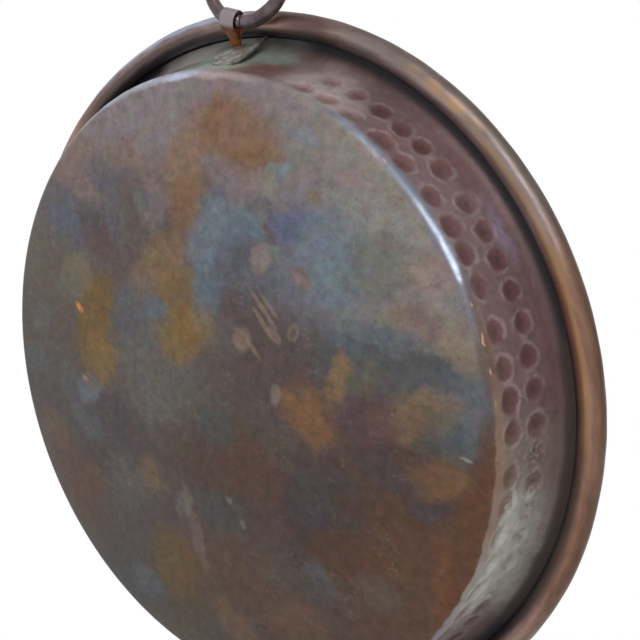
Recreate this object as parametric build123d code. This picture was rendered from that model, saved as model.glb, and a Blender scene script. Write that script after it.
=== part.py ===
"""Shallow hammered copper bowl with a wired rim and a loose hanging ring.

Millimetres. The bowl stands upright: +Z up, the origin at the centre of the
underside of its flat base, and +Y from there towards the hanging ring.
"""
import os
from math import cos, radians, sin, sqrt

from build123d import *

# The bowl, raised from one round of sheet
RIM_RADIUS = 60.0          # over the bead
BOWL_HEIGHT = 11.5         # underside of the base to the top of the rim
SHEET = 0.8
BASE_RADIUS = 50.0         # where the wall's line would meet the table
WALL_TOP_RADIUS = 55.2     # where it would meet the underside of the rim
WALL_BOW = 0.6             # the wall flares: it bows in by this much from straight
CORNER_RADIUS = 1.5        # planished corner between base and wall
SHOULDER_RADIUS = 2.6      # where the wall turns out into the rim

# The wired edge: the sheet goes out over a wire, down round it and in under it
BEAD_RADIUS = 1.7
WIRE_RADIUS = BEAD_RADIUS - SHEET
ROLL_TURN = 285.0          # degrees of the sheet's way round the wire
BEAD_CENTRE = (RIM_RADIUS - BEAD_RADIUS, BOWL_HEIGHT - BEAD_RADIUS)
BRIM_UNDERSIDE = BOWL_HEIGHT - SHEET

# The eye under the bead, fixed a little askew, and the ring that hangs in it
EYE_OUT = 57.65            # middle of the eye, out from the bowl's axis
EYE_HEIGHT = 5.5
EYE_TURN = 11.0            # degrees about the vertical
EYE_TILT = 10.0            # degrees down towards +X
RING_WIRE_RADIUS = 1.0
RING_RADIUS = 6.15         # to the middle of the wire
RING_LEAN = 5.0            # degrees: the ring leans further in its loose eye
RING_LIFT = 9.0            # degrees above level, with the ring held out

# The strap, a strip folded round the ring with its two legs brazed together
STRIP = 0.2
EYE_BORE = 1.34
EYE_OUTER = EYE_BORE + STRIP
STRAP_WIDTH = 2.3
TONGUE_SKEW = 0.35         # the tongue's foot sits this far to one side
TONGUE_WIDTH = 1.7         # the legs narrow towards the leaf
LEGS_MEET = 2.2            # from the middle of the eye to where the legs close
TONGUE_LENGTH = 3.95       # from the middle of the eye, before it is cut to the leaf
TONGUE_RISE = 42.0         # degrees that the legs climb from the eye to the leaf

# The leaf, a hammered foot soldered askew between the wall and the bead.
# Its outline is in its front plane: X along the rim from its low end, Y up to the bead.
LEAF_MIDDLE = (0.0, 54.15, 7.0)
LEAF_PITCH = 50.0          # degrees that its front climbs, outwards
LEAF_LOW_END = (-3.5, -2.0)
LEAF_BELLY = ((-2.4, -3.5), (0.2, -4.6), (1.9, -3.3), (2.7, -0.6))
LEAF_TIP = (2.8, 4.4)
LEAF_CREST = ((1.5, 2.9), (-0.2, 2.1), (-2.2, 0.8))
LEAF_THICKNESS = 0.5
SOLDER_MIDDLE = (0.2, -1.1)
SOLDER_RADII = (1.7, 2.6)
SOLDER_REACH = 5.0         # more than the gap behind the leaf


def sheet_section():
    """Section of the sheet from the axis out to its rolled end, in the XZ plane."""
    with BuildSketch(Plane.XZ) as section:
        with BuildLine() as underside:
            Line((0, 0), (BASE_RADIUS, 0))
            SagittaArc((BASE_RADIUS, 0), (WALL_TOP_RADIUS, BRIM_UNDERSIDE), WALL_BOW)
            Line((WALL_TOP_RADIUS, BRIM_UNDERSIDE), (BEAD_CENTRE[0], BRIM_UNDERSIDE))
            corner, shoulder = underside.vertices().filter_by_position(
                Axis.X, BASE_RADIUS - 1, WALL_TOP_RADIUS + 1).sort_by(Axis.X)
            fillet(corner, CORNER_RADIUS)
            fillet(shoulder, SHOULDER_RADIUS)
            offset(amount=SHEET, side=Side.LEFT)
        make_face()
        with BuildLine():
            outside = CenterArc(BEAD_CENTRE, BEAD_RADIUS, 90, -ROLL_TURN)
            inside = CenterArc(BEAD_CENTRE, WIRE_RADIUS, 90, -ROLL_TURN)
            Line(outside @ 0, inside @ 0)
            Line(outside @ 1, inside @ 1)
        make_face()
    return section.sketch


def bowl_shell():
    return revolve(sheet_section(), axis=Axis.Z)


def rim_wire():
    """The wire inside the bead, closed on itself."""
    radius, height = BEAD_CENTRE
    return Pos(0, 0, height) * Torus(radius, WIRE_RADIUS)


def eye_location():
    """Local X runs along the eye and Y out to where the ring hangs."""
    return Pos(0, EYE_OUT, EYE_HEIGHT) * Rot(0, 0, EYE_TURN) * Rot(0, EYE_TILT, 0)


def hanging_ring():
    """Round wire bent to a ring and brazed shut, threaded through the eye."""
    lean_and_lift = Rot(RING_LIFT, 0, 0) * Rot(0, 0, RING_LEAN)
    ring = Pos(0, RING_RADIUS, 0) * Torus(RING_RADIUS, RING_WIRE_RADIUS)
    return eye_location() * lean_and_lift * ring


def strap_outline():
    """Side view of the strap: round over the ring, then two legs that close up."""
    touch_x = EYE_OUTER * EYE_OUTER / LEGS_MEET
    touch_y = sqrt(EYE_OUTER ** 2 - touch_x ** 2)
    with BuildSketch(Plane.YZ) as outline:
        Circle(EYE_OUTER)
        Polygon((touch_x, touch_y), (LEGS_MEET, STRIP), (TONGUE_LENGTH, STRIP),
                (TONGUE_LENGTH, -STRIP), (LEGS_MEET, -STRIP), (touch_x, -touch_y),
                align=None)
        Circle(EYE_BORE, mode=Mode.SUBTRACT)
    return outline.sketch


def strap_plan():
    """The strap seen flat: full width over the ring, narrower and askew at the foot."""
    half = STRAP_WIDTH / 2
    foot_left = -TONGUE_SKEW - TONGUE_WIDTH / 2
    foot_right = foot_left + TONGUE_WIDTH
    return Polygon((-half, -EYE_OUTER), (half, -EYE_OUTER), (half, EYE_BORE),
                   (foot_right, TONGUE_LENGTH), (foot_left, TONGUE_LENGTH), (-half, EYE_BORE),
                   align=None)


def ring_strap(leaf, bowl):
    """The folded strip, cut at its foot to sit flush on the leaf."""
    body = extrude(strap_outline(), amount=STRAP_WIDTH, both=True)
    body = body & extrude(strap_plan(), amount=EYE_OUTER, both=True)
    towards_wall = Rot(0, 0, 180) * Rot(TONGUE_RISE, 0, 0)
    strap = eye_location() * towards_wall * body
    return keep_largest(strap - leaf - bowl)


def leaf_plane():
    """The leaf's front, its normal facing out and down."""
    pitch = radians(LEAF_PITCH)
    return Plane(origin=LEAF_MIDDLE, x_dir=(-1, 0, 0), z_dir=(0, sin(pitch), -cos(pitch)))


def leaf_outline():
    with BuildSketch() as leaf:
        with BuildLine():
            Spline(LEAF_LOW_END, *LEAF_BELLY, LEAF_TIP)
            Spline(LEAF_TIP, *LEAF_CREST, LEAF_LOW_END)
        make_face()
    return leaf.sketch


def hanger_leaf(bowl):
    """The leaf, hammered from thick sheet, its belly against the wall."""
    plate = extrude(leaf_outline(), amount=-LEAF_THICKNESS)
    return keep_frontmost(leaf_plane().location * plate - bowl)


def leaf_solder(bowl):
    """Solder that fills from the back of the leaf to the wall and the rim."""
    pool = Pos(*SOLDER_MIDDLE, -LEAF_THICKNESS) * Ellipse(*SOLDER_RADII)
    return keep_frontmost(leaf_plane().location * extrude(pool, amount=-SOLDER_REACH) - bowl)


def keep_largest(shape):
    return shape.solids().sort_by(SortBy.VOLUME)[-1]


def keep_frontmost(shape):
    """The piece on the leaf's side of the bowl's sheet."""
    front = leaf_plane()
    return max(shape.solids(), key=lambda piece: front.to_local_coords(piece.center()).Z)


def write(node, shape):
    export_step(shape, f"parts/{node}.step")
    print(node, round(shape.volume, 2), "mm3")


def main():
    os.makedirs("parts", exist_ok=True)
    shell = bowl_shell()
    leaf = hanger_leaf(shell)
    write("bowl_shell", shell)
    write("rim_wire", rim_wire())
    write("hanger_leaf", leaf)
    write("leaf_solder", leaf_solder(shell))
    write("ring_strap", ring_strap(leaf, shell))
    write("hanging_ring", hanging_ring())


main()
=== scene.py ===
# %% [markdown]
# # A small hammered copper bowl with a hanging ring
# The bowl is raised from one round of sheet copper. Its base is flat, its short wall
# carries two rows of hammer marks, and its rim is rolled outwards over a wire. A strap
# under the rim holds a loose ring. The picture shows the bowl from below, so the stained
# underside is the main thing to get right.
#
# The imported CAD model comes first. It is the frame that every new piece is fitted to.

# %% Load the frame
import math
import random

import bpy
import numpy as np
from mathutils import Matrix, Vector, noise


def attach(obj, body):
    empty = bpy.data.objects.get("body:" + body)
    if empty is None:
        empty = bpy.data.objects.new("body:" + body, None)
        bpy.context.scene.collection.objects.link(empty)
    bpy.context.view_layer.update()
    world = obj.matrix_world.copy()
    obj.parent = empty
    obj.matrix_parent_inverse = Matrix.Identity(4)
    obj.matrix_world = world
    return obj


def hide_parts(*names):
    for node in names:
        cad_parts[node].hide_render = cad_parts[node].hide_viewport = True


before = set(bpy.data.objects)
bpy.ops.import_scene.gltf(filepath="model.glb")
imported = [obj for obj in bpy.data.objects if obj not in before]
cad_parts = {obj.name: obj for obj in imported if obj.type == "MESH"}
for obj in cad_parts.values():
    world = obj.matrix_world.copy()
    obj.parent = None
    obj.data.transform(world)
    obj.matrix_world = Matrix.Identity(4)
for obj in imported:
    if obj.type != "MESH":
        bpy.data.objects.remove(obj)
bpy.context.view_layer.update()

MM = 0.001
print("CAD nodes:", sorted(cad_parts))

# %% [markdown]
# ## Four small helpers
# Colours are written as sRGB hex values, as a colour picker shows them, and turned to
# linear light. One function adds a shader node with its settings and its links. One
# starts a material, and one opens an object for editing with nothing else selected.

# %% Helpers
def hex_colour(code):
    """sRGB hex, such as 7a6045, to a linear colour with alpha."""
    channels = [int(code[i:i + 2], 16) / 255 for i in (0, 2, 4)]
    return tuple(c / 12.92 if c <= 0.04045 else ((c + 0.055) / 1.055) ** 2.4
                 for c in channels) + (1.0,)


def add(tree, kind, settings=None, links=None):
    """Adds a shader node. A link is a socket to join or a value to set, by input name."""
    node = tree.nodes.new("ShaderNode" + kind)
    for name, value in (settings or {}).items():
        setattr(node, name, value)
    for name, value in (links or {}).items():
        if isinstance(value, bpy.types.NodeSocket):
            tree.links.new(value, node.inputs[name])
        else:
            node.inputs[name].default_value = value
    return node


def start_edit(obj):
    """Deselects everything, then opens this one object for editing."""
    if bpy.context.object and bpy.context.object.mode != "OBJECT":
        bpy.ops.object.mode_set(mode="OBJECT")
    bpy.ops.object.select_all(action="DESELECT")
    obj.select_set(True)
    bpy.context.view_layer.objects.active = obj
    bpy.ops.object.mode_set(mode="EDIT")


def new_material(name):
    """An empty material: its tree, its shader, and Object coordinates in millimetres."""
    material = bpy.data.materials.new(name)
    material.use_nodes = True
    tree = material.node_tree
    tree.nodes.clear()
    shader = add(tree, "BsdfPrincipled")
    add(tree, "OutputMaterial", links={"Surface": shader.outputs["BSDF"]})
    place = add(tree, "TexCoord")
    in_mm = add(tree, "Mapping", links={"Vector": place.outputs["Object"],
                                        "Scale": (1 / MM, 1 / MM, 1 / MM)})
    return material, tree, shader, in_mm.outputs["Vector"]


print("middle grey, 808080, is", round(hex_colour("808080")[0], 2), "in linear light")


# %% [markdown]
# ## Camera
# The camera looks up at the underside from close by. The numbers are the place and the
# directions that make the CAD model's outline fall on the photographed one. A close
# camera with a wide view makes the near wall look large, so distance and lens go together.

# %% Camera
CAMERA_PLACE = Vector((-60.23, 38.16, -59.97)) * MM
LOOK = Vector((0.5051, -0.2638, 0.8218))
UP_IN_PICTURE = Vector((0.2233, 0.9597, 0.1708))
SENSOR_MM, LENS_MM = 36.0, 30.75

bpy.ops.object.camera_add(location=CAMERA_PLACE)
camera = bpy.context.object
right = LOOK.cross(UP_IN_PICTURE).normalized()
up = right.cross(LOOK).normalized()
turn = Matrix((right, up, -LOOK.normalized())).transposed()
camera.rotation_euler = turn.to_euler()
camera.data.sensor_width = SENSOR_MM
camera.data.lens = LENS_MM
camera.data.clip_start = 2 * MM
camera.data.clip_end = 20.0
bpy.context.scene.camera = camera
bpy.context.scene.view_settings.view_transform = "Standard"
print("camera is", round((camera.location.length) / MM), "mm from the base's centre")

# %% [markdown]
# ## Studio light
# A pale room and two soft lamps. The world is white where the camera or a reflection sees
# it, and gentler as light, so the background stays white while the copper keeps its
# colours.

# %% Studio light
WORLD_AS_LIGHT = 0.62
# Each lamp: where it is from the bowl's centre and its side, in metres, and its watts
LAMPS = {
    "lamp over the camera": ((-0.26, 0.42, -0.36), 0.30, 1.3),
    "lamp above the bowl": ((0.25, -0.35, 0.60), 0.40, 1.6),
}

world = bpy.data.worlds.new("pale studio")
bpy.context.scene.world = world
world.use_nodes = True
sky = world.node_tree
sky.nodes.clear()
ray = add(sky, "LightPath")
seen = add(sky, "Math", {"operation": "MAXIMUM"},
           {0: ray.outputs["Is Camera Ray"], 1: ray.outputs["Is Glossy Ray"]})
seen = add(sky, "Math", {"operation": "MAXIMUM"},
           {0: seen.outputs["Value"], 1: ray.outputs["Is Transmission Ray"]})
strength = add(sky, "MapRange", links={"Value": seen.outputs["Value"],
                                       "To Min": WORLD_AS_LIGHT, "To Max": 1.0})
glow = add(sky, "Background", links={"Color": (1, 1, 1, 1),
                                     "Strength": strength.outputs["Result"]})
add(sky, "OutputWorld", links={"Surface": glow.outputs["Background"]})

for name, (place, side, watts) in LAMPS.items():
    bpy.ops.object.light_add(type="AREA", location=place)
    lamp = bpy.context.object
    lamp.name = name
    lamp.rotation_euler = (-Vector(place)).to_track_quat("-Z", "Y").to_euler()
    lamp.data.size = side
    lamp.data.energy = watts
print(len(LAMPS), "lamps")

# %% [markdown]
# ## Floor
# The camera is lower than the floor, so the floor is a sheet that only a camera above it
# sees. It catches the bowl's shadow in those views. Its paper fades out with distance, so
# that no edge of it shows against the white room.

# %% Floor
FLOOR_SIZE = 3.0                  # metres
FADE_FROM, FADE_TO = 0.2, 1.4     # metres from the bowl
FLOOR_GAP = 0.02 * MM             # the floor is this far under the base

bpy.ops.mesh.primitive_plane_add(size=FLOOR_SIZE, location=(0, 0, -FLOOR_GAP))
floor = bpy.context.object
floor.name = "floor"
paper = bpy.data.materials.new("pale paper")
paper.use_nodes = True
tree = paper.node_tree
tree.nodes.clear()
ray = add(tree, "LightPath")
side = add(tree, "NewGeometry")
from_above = add(tree, "Math", {"operation": "SUBTRACT", "use_clamp": True},
                 {0: ray.outputs["Is Camera Ray"], 1: side.outputs["Backfacing"]})
matt = add(tree, "BsdfDiffuse", links={"Color": hex_colour("eceae6")})
clear = add(tree, "BsdfTransparent")
where = add(tree, "TexCoord")
far = add(tree, "VectorMath", {"operation": "LENGTH"}, {0: where.outputs["Object"]})
fading = add(tree, "MapRange", {"interpolation_type": "SMOOTHSTEP"},
             {"Value": far.outputs["Value"], "From Min": FADE_FROM, "From Max": FADE_TO,
              "To Min": 1.0, "To Max": 0.0})
visible = add(tree, "Math", {"operation": "MULTIPLY"},
              {0: from_above.outputs["Value"], 1: fading.outputs["Result"]})
either = add(tree, "MixShader", links={0: visible.outputs["Value"],
                                       1: clear.outputs["BSDF"], 2: matt.outputs["BSDF"]})
add(tree, "OutputMaterial", links={"Surface": either.outputs["Shader"]})
floor.data.materials.append(paper)
print("the floor fades out", FADE_TO, "m from the bowl")

# %% [markdown]
# ## The bowl's section
# A raised bowl is one sheet, so it is drawn as the cut through that sheet and spun. The
# section is the CAD model's: a flat base, a round corner, a wall that flares on one long
# arc, a round shoulder, and a brim that goes round the wire. Each arc touches the next,
# and the upper side of the sheet uses the same centres, one sheet's thickness away.

# %% Section of the sheet, in millimetres from the axis and the table
RIM_RADIUS, BOWL_HEIGHT, SHEET = 60.0, 11.5, 0.8
BASE_RADIUS, WALL_TOP_RADIUS, WALL_BOW = 50.0, 55.2, 0.6
CORNER_RADIUS, SHOULDER_RADIUS = 1.5, 2.6
BEAD_RADIUS, ROLL_TURN = 1.7, 285.0
WIRE_RADIUS = BEAD_RADIUS - SHEET
BRIM_UNDERSIDE = BOWL_HEIGHT - SHEET
BEAD_CENTRE = Vector((RIM_RADIUS - BEAD_RADIUS, BOWL_HEIGHT - BEAD_RADIUS))

wall_foot = Vector((BASE_RADIUS, 0))
wall_head = Vector((WALL_TOP_RADIUS, BRIM_UNDERSIDE))
chord = wall_head - wall_foot
outwards = Vector((chord.y, -chord.x)).normalized()
WALL_ARC = (chord.length ** 2 / 4 + WALL_BOW ** 2) / (2 * WALL_BOW)
WALL_CENTRE = (wall_foot + wall_head) / 2 + outwards * (WALL_ARC - WALL_BOW)


def touching_centre(height, distance):
    """A centre at this height and this far from the wall arc's centre."""
    drop = height - WALL_CENTRE.y
    return Vector((WALL_CENTRE.x - math.sqrt(distance ** 2 - drop ** 2), height))


def arc(centre, radius, start, end, steps):
    """Points round a centre, from one angle to another, in degrees."""
    angles = (math.radians(start + (end - start) * i / steps) for i in range(steps + 1))
    return [centre + radius * Vector((math.cos(a), math.sin(a))) for a in angles]


def run(start, end, steps):
    """Points on a straight line."""
    return [start.lerp(end, i / steps) for i in range(steps + 1)]


print("the wall's arc has a radius of", round(WALL_ARC), "mm")

# %% [markdown]
# The underside and the upper side of the sheet are the same run of lines and arcs, at two
# distances from the table. The roll closes the section at its outer end.

# %% The sheet's two sides and its roll
corner_centre = touching_centre(CORNER_RADIUS, WALL_ARC + CORNER_RADIUS)
shoulder_centre = touching_centre(BRIM_UNDERSIDE - SHOULDER_RADIUS, WALL_ARC - SHOULDER_RADIUS)
corner_way = math.degrees(math.atan2(*(WALL_CENTRE - corner_centre).yx))
foot_way = 180 + corner_way
head_way = math.degrees(math.atan2(*(shoulder_centre - WALL_CENTRE).yx))

BASE_STEPS, CORNER_STEPS, WALL_STEPS, SHOULDER_STEPS, BEAD_STEPS = 9, 6, 22, 8, 26


def side_of_sheet(lift, wall_steps):
    """The sheet's line from the axis to the bead, `lift` above its underside."""
    table = Vector((0, lift))
    corner_foot = Vector((corner_centre.x, lift))
    shoulder_head = Vector((shoulder_centre.x, BRIM_UNDERSIDE + lift))
    bead_head = Vector((BEAD_CENTRE.x, BRIM_UNDERSIDE + lift))
    return (run(table, corner_foot, BASE_STEPS)
            + arc(corner_centre, CORNER_RADIUS - lift, -90, corner_way, CORNER_STEPS)
            + arc(WALL_CENTRE, WALL_ARC + lift, foot_way, head_way, wall_steps)
            + arc(shoulder_centre, SHOULDER_RADIUS + lift, head_way, 90, SHOULDER_STEPS)
            + run(shoulder_head, bead_head, 2))


underside = side_of_sheet(0, WALL_STEPS)
upper_side = side_of_sheet(SHEET, WALL_STEPS // 2)
roll_inside = arc(BEAD_CENTRE, WIRE_RADIUS, 90, 90 - ROLL_TURN, BEAD_STEPS // 2)
roll_outside = arc(BEAD_CENTRE, BEAD_RADIUS, 90 - ROLL_TURN, 90, BEAD_STEPS)
section = underside + roll_inside + roll_outside + upper_side[::-1]
TOO_CLOSE = 0.01
section = [p for p, before in zip(section, [section[-1]] + section[:-1])
           if (p - before).length > TOO_CLOSE]
print("section has", len(section), "points")

# %% [markdown]
# ## Spinning the bowl
# A plane merged to one point is extruded along the section, point by point, and that line
# is spun through an eighth of a turn. Spin is slow on a large mesh, so the eighth is then
# copied and turned three times, which doubles it each time. Merging by distance closes the
# seams and the two poles.

# %% Spin the section
EIGHTH_STEPS = 90          # 720 round the bowl, so that a hammer mark has about 30 across
X, Y, Z = 0, 1, 2


def draw_line(name, points, across, up):
    """A new object, in edit mode: a line of edges from the origin through the points."""
    bpy.ops.object.select_all(action="DESELECT")
    bpy.ops.mesh.primitive_plane_add(size=MM)
    obj = bpy.context.object
    obj.name = name
    start_edit(obj)
    bpy.ops.mesh.merge(type="CENTER")
    here = Vector((0, 0))
    for point in points:
        step = Vector((0, 0, 0))
        step[across], step[up] = (point - here) * MM
        bpy.ops.mesh.extrude_region_move(TRANSFORM_OT_translate={"value": step})
        here = point
    return obj


bowl = draw_line("hammered_bowl", section, X, Z)
bpy.ops.mesh.select_all(action="SELECT")
bpy.ops.mesh.remove_doubles(threshold=TOO_CLOSE * MM / 2)
bpy.ops.mesh.spin(steps=EIGHTH_STEPS, angle=math.tau / 8, center=(0, 0, 0), axis=(0, 0, 1))
bpy.ops.mesh.select_all(action="SELECT")
for part_turn in (math.tau / 8, math.tau / 4, math.tau / 2):
    bpy.ops.mesh.duplicate()
    bpy.ops.transform.rotate(value=part_turn, orient_axis="Z", center_override=(0, 0, 0))
    bpy.ops.mesh.select_all(action="SELECT")
bpy.ops.mesh.remove_doubles(threshold=TOO_CLOSE * MM / 2)
bpy.ops.mesh.normals_make_consistent(inside=False)
bpy.ops.object.mode_set(mode="OBJECT")
print("bowl has", len(bowl.data.polygons), "faces")

# %% [markdown]
# ## Hammer marks
# Each mark is a shallow dish pressed into the wall by a ball-faced hammer, in two rows
# that go round the bowl. The marks by the ring are placed as they are on the real wall,
# and the rest carry on at the same spacing, each a little out of line. A mark moves the
# mesh, and its distance map is kept as an attribute, so that the dark patina in each
# dish and the rubbed ridge round it follow the same shape.

# %% Hammer marks
# Each row: height of its marks, their half width and half height, depth, and the
# directions, in degrees from +X, of the marks that can be seen beside the ring
ROWS = {
    "lower": (2.45, 1.75, 1.65, 0.17, (108.2, 112.6, 117.3, 123.3, 128.1, 134.2, 139.0, 143.0,
                                       147.7, 153.9, 158.9, 163.4, 167.9, 174.0, 178.3, 183.3,
                                       188.3)),
    "upper": (6.7, 1.62, 1.45, 0.14, (109.5, 113.9, 118.6, 122.9, 126.8, 131.0, 136.9, 141.3,
                                      145.3, 149.8, 154.2, 158.6, 163.0, 168.0, 172.0, 176.3,
                                      180.5)),
}
OUT_OF_ROUND = 0.36                # how far a mark's outline strays, for its size
LAST_MARK = 70.0                   # from here on, to the ring's strap, the wall is smooth
TURN_DRIFT, HEIGHT_DRIFT = 0.6, 0.2    # degrees and millimetres that a mark may be off
SIZES, DEPTHS = (0.9, 1.08), (0.7, 1.15)   # least and most, of the row's own


def wave(points, wavelength):
    """Smooth noise, 0 to 1, that repeats over about this many millimetres."""
    return np.array([0.5 + 0.5 * noise.noise(Vector(p) / wavelength) for p in points])


chance = random.Random(7)
marks = []
for height, half_wide, half_high, depth, seen_at in ROWS.values():
    pitch = (seen_at[-1] - seen_at[0]) / (len(seen_at) - 1)
    unseen = round((360 + LAST_MARK - seen_at[-1]) / pitch)
    turns = list(seen_at) + [
        seen_at[-1] + pitch * (i + 1) + chance.uniform(-TURN_DRIFT, TURN_DRIFT)
        for i in range(unseen)]
    for turn_deg in turns:
        size = chance.uniform(*SIZES)
        marks.append((math.radians(turn_deg),
                      height + chance.uniform(-HEIGHT_DRIFT, HEIGHT_DRIFT),
                      half_wide * size, half_high * size, depth * chance.uniform(*DEPTHS),
                      chance.random()))
print(len(marks), "hammer marks")

# %% [markdown]
# For each point of the mesh, the next cell works out how far it is from the nearest mark's
# middle, in sizes of that mark, and how deep the hammer pressed it. Round the dish the
# copper stands up in a low lip.

# %% Distance map and dents
DENT_ON_INSIDE = 0.45              # how much of a dent shows as a bump inside
FAR = 2.0                          # the distance map stops at this many mark sizes
LIP_HEIGHT, LIP_AT, LIP_WIDTH = 0.22, 1.12, 0.16   # of the depth, and in mark sizes
MARKS_BELOW = 10.2                 # millimetres: no mark reaches above this height

mesh = bowl.data
place = np.empty(len(mesh.vertices) * 3)
mesh.vertices.foreach_get("co", place)
place = place.reshape(-1, 3) / MM
radius = np.hypot(place[:, 0], place[:, 1])
bearing = np.arctan2(place[:, 1], place[:, 0])
height = place[:, 2]
from_wall = np.hypot(radius - WALL_CENTRE.x, height - WALL_CENTRE.y) - WALL_ARC
on_wall = ((radius > corner_centre.x + 0.4) & (radius < WALL_TOP_RADIUS)
           & (height < MARKS_BELOW))
inner_wall = on_wall & (from_wall >= SHEET / 2)

ragged_edge = 1 + OUT_OF_ROUND * (wave(place, 1.3) - 0.5)
distance = np.full(len(radius), FAR)
mark_shade = np.zeros(len(radius))
dent = np.zeros(len(radius))
for turn_rad, mark_height, half_wide, half_high, depth, shade in marks:
    across = (np.angle(np.exp(1j * (bearing - turn_rad)))) * radius / half_wide
    along = (height - mark_height) / half_high
    reach = np.hypot(across, along) * ragged_edge
    nearer = on_wall & (reach < distance)
    distance[nearer] = reach[nearer]
    mark_shade[nearer] = shade
    dish = np.clip(1 - reach ** 2, 0, 1) ** 1.5
    lip = LIP_HEIGHT * np.exp(-((reach - LIP_AT) / LIP_WIDTH) ** 2)
    dent = np.where(on_wall, dent + depth * (dish - lip), dent)
print("the deepest dent is", round(dent.max(), 2), "mm")

# %% [markdown]
# ## The unevenness of hand work
# No raised bowl is true. The base is a little dished, the corner wanders, and the rolled
# rim has flats where it was dressed over the wire. Everything moves inwards, so the bowl
# stays inside the size of the CAD model.

# %% Move the bowl's vertices
BASE_WAVE, BASE_WAVELENGTH = 0.16, 15.0    # millimetres
RIM_WAVE, RIM_WAVELENGTH = 0.14, 4.0
BASE_FLATTENS_OVER = 8    # millimetres in from its edge, over which the base goes uneven

into_bowl = np.zeros_like(place)
into_bowl[:, 0] = -outwards.x * np.cos(bearing)
into_bowl[:, 1] = -outwards.x * np.sin(bearing)
into_bowl[:, 2] = -outwards.y
place += into_bowl * (dent * np.where(inner_wall, DENT_ON_INSIDE, 1.0))[:, None]

flat_part = np.clip((corner_centre.x - radius) / BASE_FLATTENS_OVER, 0, 1) * (height < 2)
place[:, 2] += BASE_WAVE * flat_part * wave(place * (1, 1, 0), BASE_WAVELENGTH)

on_bead = radius > BEAD_CENTRE.x - BEAD_RADIUS - 0.2
flats = RIM_WAVE * wave(place, RIM_WAVELENGTH) * on_bead * np.clip(radius - BEAD_CENTRE.x, 0, 1)
place[:, 0] -= flats * np.cos(bearing)
place[:, 1] -= flats * np.sin(bearing)
mesh.vertices.foreach_set("co", (place * MM).ravel())

for name, values in (("mark_distance", distance), ("mark_shade", mark_shade)):
    mesh.attributes.new(name, "FLOAT", "POINT").data.foreach_set("value", values)
mesh.update()
bpy.ops.object.shade_smooth()
print("the rim's flats are up to", round(flats.max(), 2), "mm deep")

# %% [markdown]
# ## Putting small parts in their place
# The ring, the strap, the leaf and the solder are each made at the origin, where their
# sizes are easy to write, and are then turned and moved. The place is applied to the mesh,
# so each object stays at the origin, unturned, and its finish doesn't slide on it.

# %% Places
EYE_OUT, EYE_HEIGHT, EYE_TURN, EYE_TILT = 57.65, 5.5, 11.0, 10.0    # the strap's eye


def turned(degrees, axis):
    """A turn about an axis through the origin."""
    return Matrix.Rotation(math.radians(degrees), 4, axis)


def moved(x, y, z):
    """A shift, given in millimetres."""
    return Matrix.Translation(Vector((x, y, z)) * MM)


def settle(obj, matrix):
    """Puts a piece made at the origin in its place, and leaves the place in its mesh."""
    if obj.mode != "OBJECT":
        bpy.ops.object.mode_set(mode="OBJECT")
    bpy.ops.object.select_all(action="DESELECT")
    obj.select_set(True)
    bpy.context.view_layer.objects.active = obj
    obj.matrix_world = matrix
    bpy.ops.object.transform_apply(location=True, rotation=True, scale=True)


def points_of(obj):
    """The mesh's points, in millimetres, as rows of x, y, z."""
    flat = np.empty(len(obj.data.vertices) * 3)
    obj.data.vertices.foreach_get("co", flat)
    return flat.reshape(-1, 3) / MM


def move_points(obj, points):
    """Puts the mesh's points where these rows of millimetres say."""
    obj.data.vertices.foreach_set("co", (points * MM).ravel())
    obj.data.update()


eye = moved(0, EYE_OUT, EYE_HEIGHT) @ turned(EYE_TURN, "Z") @ turned(EYE_TILT, "Y")
print("the eye is", EYE_OUT, "mm from the axis")

# %% [markdown]
# ## The ring
# A round wire, bent to a ring, with its two ends brazed together. It hangs through the
# strap's eye, a little above level. It is made as a torus, and its points are then moved
# in towards the middle of the wire, for the flats and the joint that handwork leaves.

# %% Hanging ring
RING_WIRE, RING_RADIUS, RING_LEAN, RING_LIFT = 1.0, 6.15, 5.0, 9.0
JOINT_AT, JOINT_WIDTH, JOINT_DEPTH = math.radians(-105), 0.13, 0.22
FLAT_DEPTH, FLAT_LENGTH = 0.09, 1.6

bpy.ops.object.select_all(action="DESELECT")
bpy.ops.mesh.primitive_torus_add(major_segments=288, minor_segments=32,
                                 major_radius=RING_RADIUS * MM, minor_radius=RING_WIRE * MM)
ring = bpy.context.object
ring.name = "wire_ring"
wire = points_of(ring)
way_round = np.arctan2(wire[:, 1], wire[:, 0])
middle = np.stack([np.cos(way_round), np.sin(way_round), 0 * way_round], -1) * RING_RADIUS
from_middle = wire - middle
from_joint = np.angle(np.exp(1j * (way_round - JOINT_AT))) * RING_RADIUS
waist = (FLAT_DEPTH * wave(wire, FLAT_LENGTH)
         + JOINT_DEPTH * np.exp(-(from_joint / JOINT_WIDTH) ** 2))
move_points(ring, middle + from_middle * (1 - waist / RING_WIRE)[:, None])
settle(ring, eye @ turned(RING_LIFT, "X") @ turned(RING_LEAN, "Z") @ moved(0, RING_RADIUS, 0))
bpy.ops.object.shade_smooth()
print("ring is", round(2 * (RING_RADIUS + RING_WIRE), 1), "mm across")

# %% [markdown]
# ## The strap
# A strip of thin copper is folded round the ring's wire, and its two legs close up to one
# tongue that is brazed to the leaf. One point is extruded round the fold in side view,
# that line is extruded to a ribbon, and Solidify gives it the thickness of the strip.

# %% Folded strap
STRIP, EYE_BORE, STRAP_WIDTH = 0.2, 1.34, 2.3
LEGS_MEET, TONGUE_LENGTH, TONGUE_RISE = 2.2, 4.15, 42.0
TONGUE_SKEW, TONGUE_WIDTH = 0.35, 1.7
FOLD = EYE_BORE + STRIP / 2        # to the middle of the strip
EDGE_RUBBED = 0.05                 # millimetres
BEATEN, BEATEN_EVERY = 0.03, 0.9   # how uneven the strip is, and over what length
COLUMNS = 8                        # of faces across the strip

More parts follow.
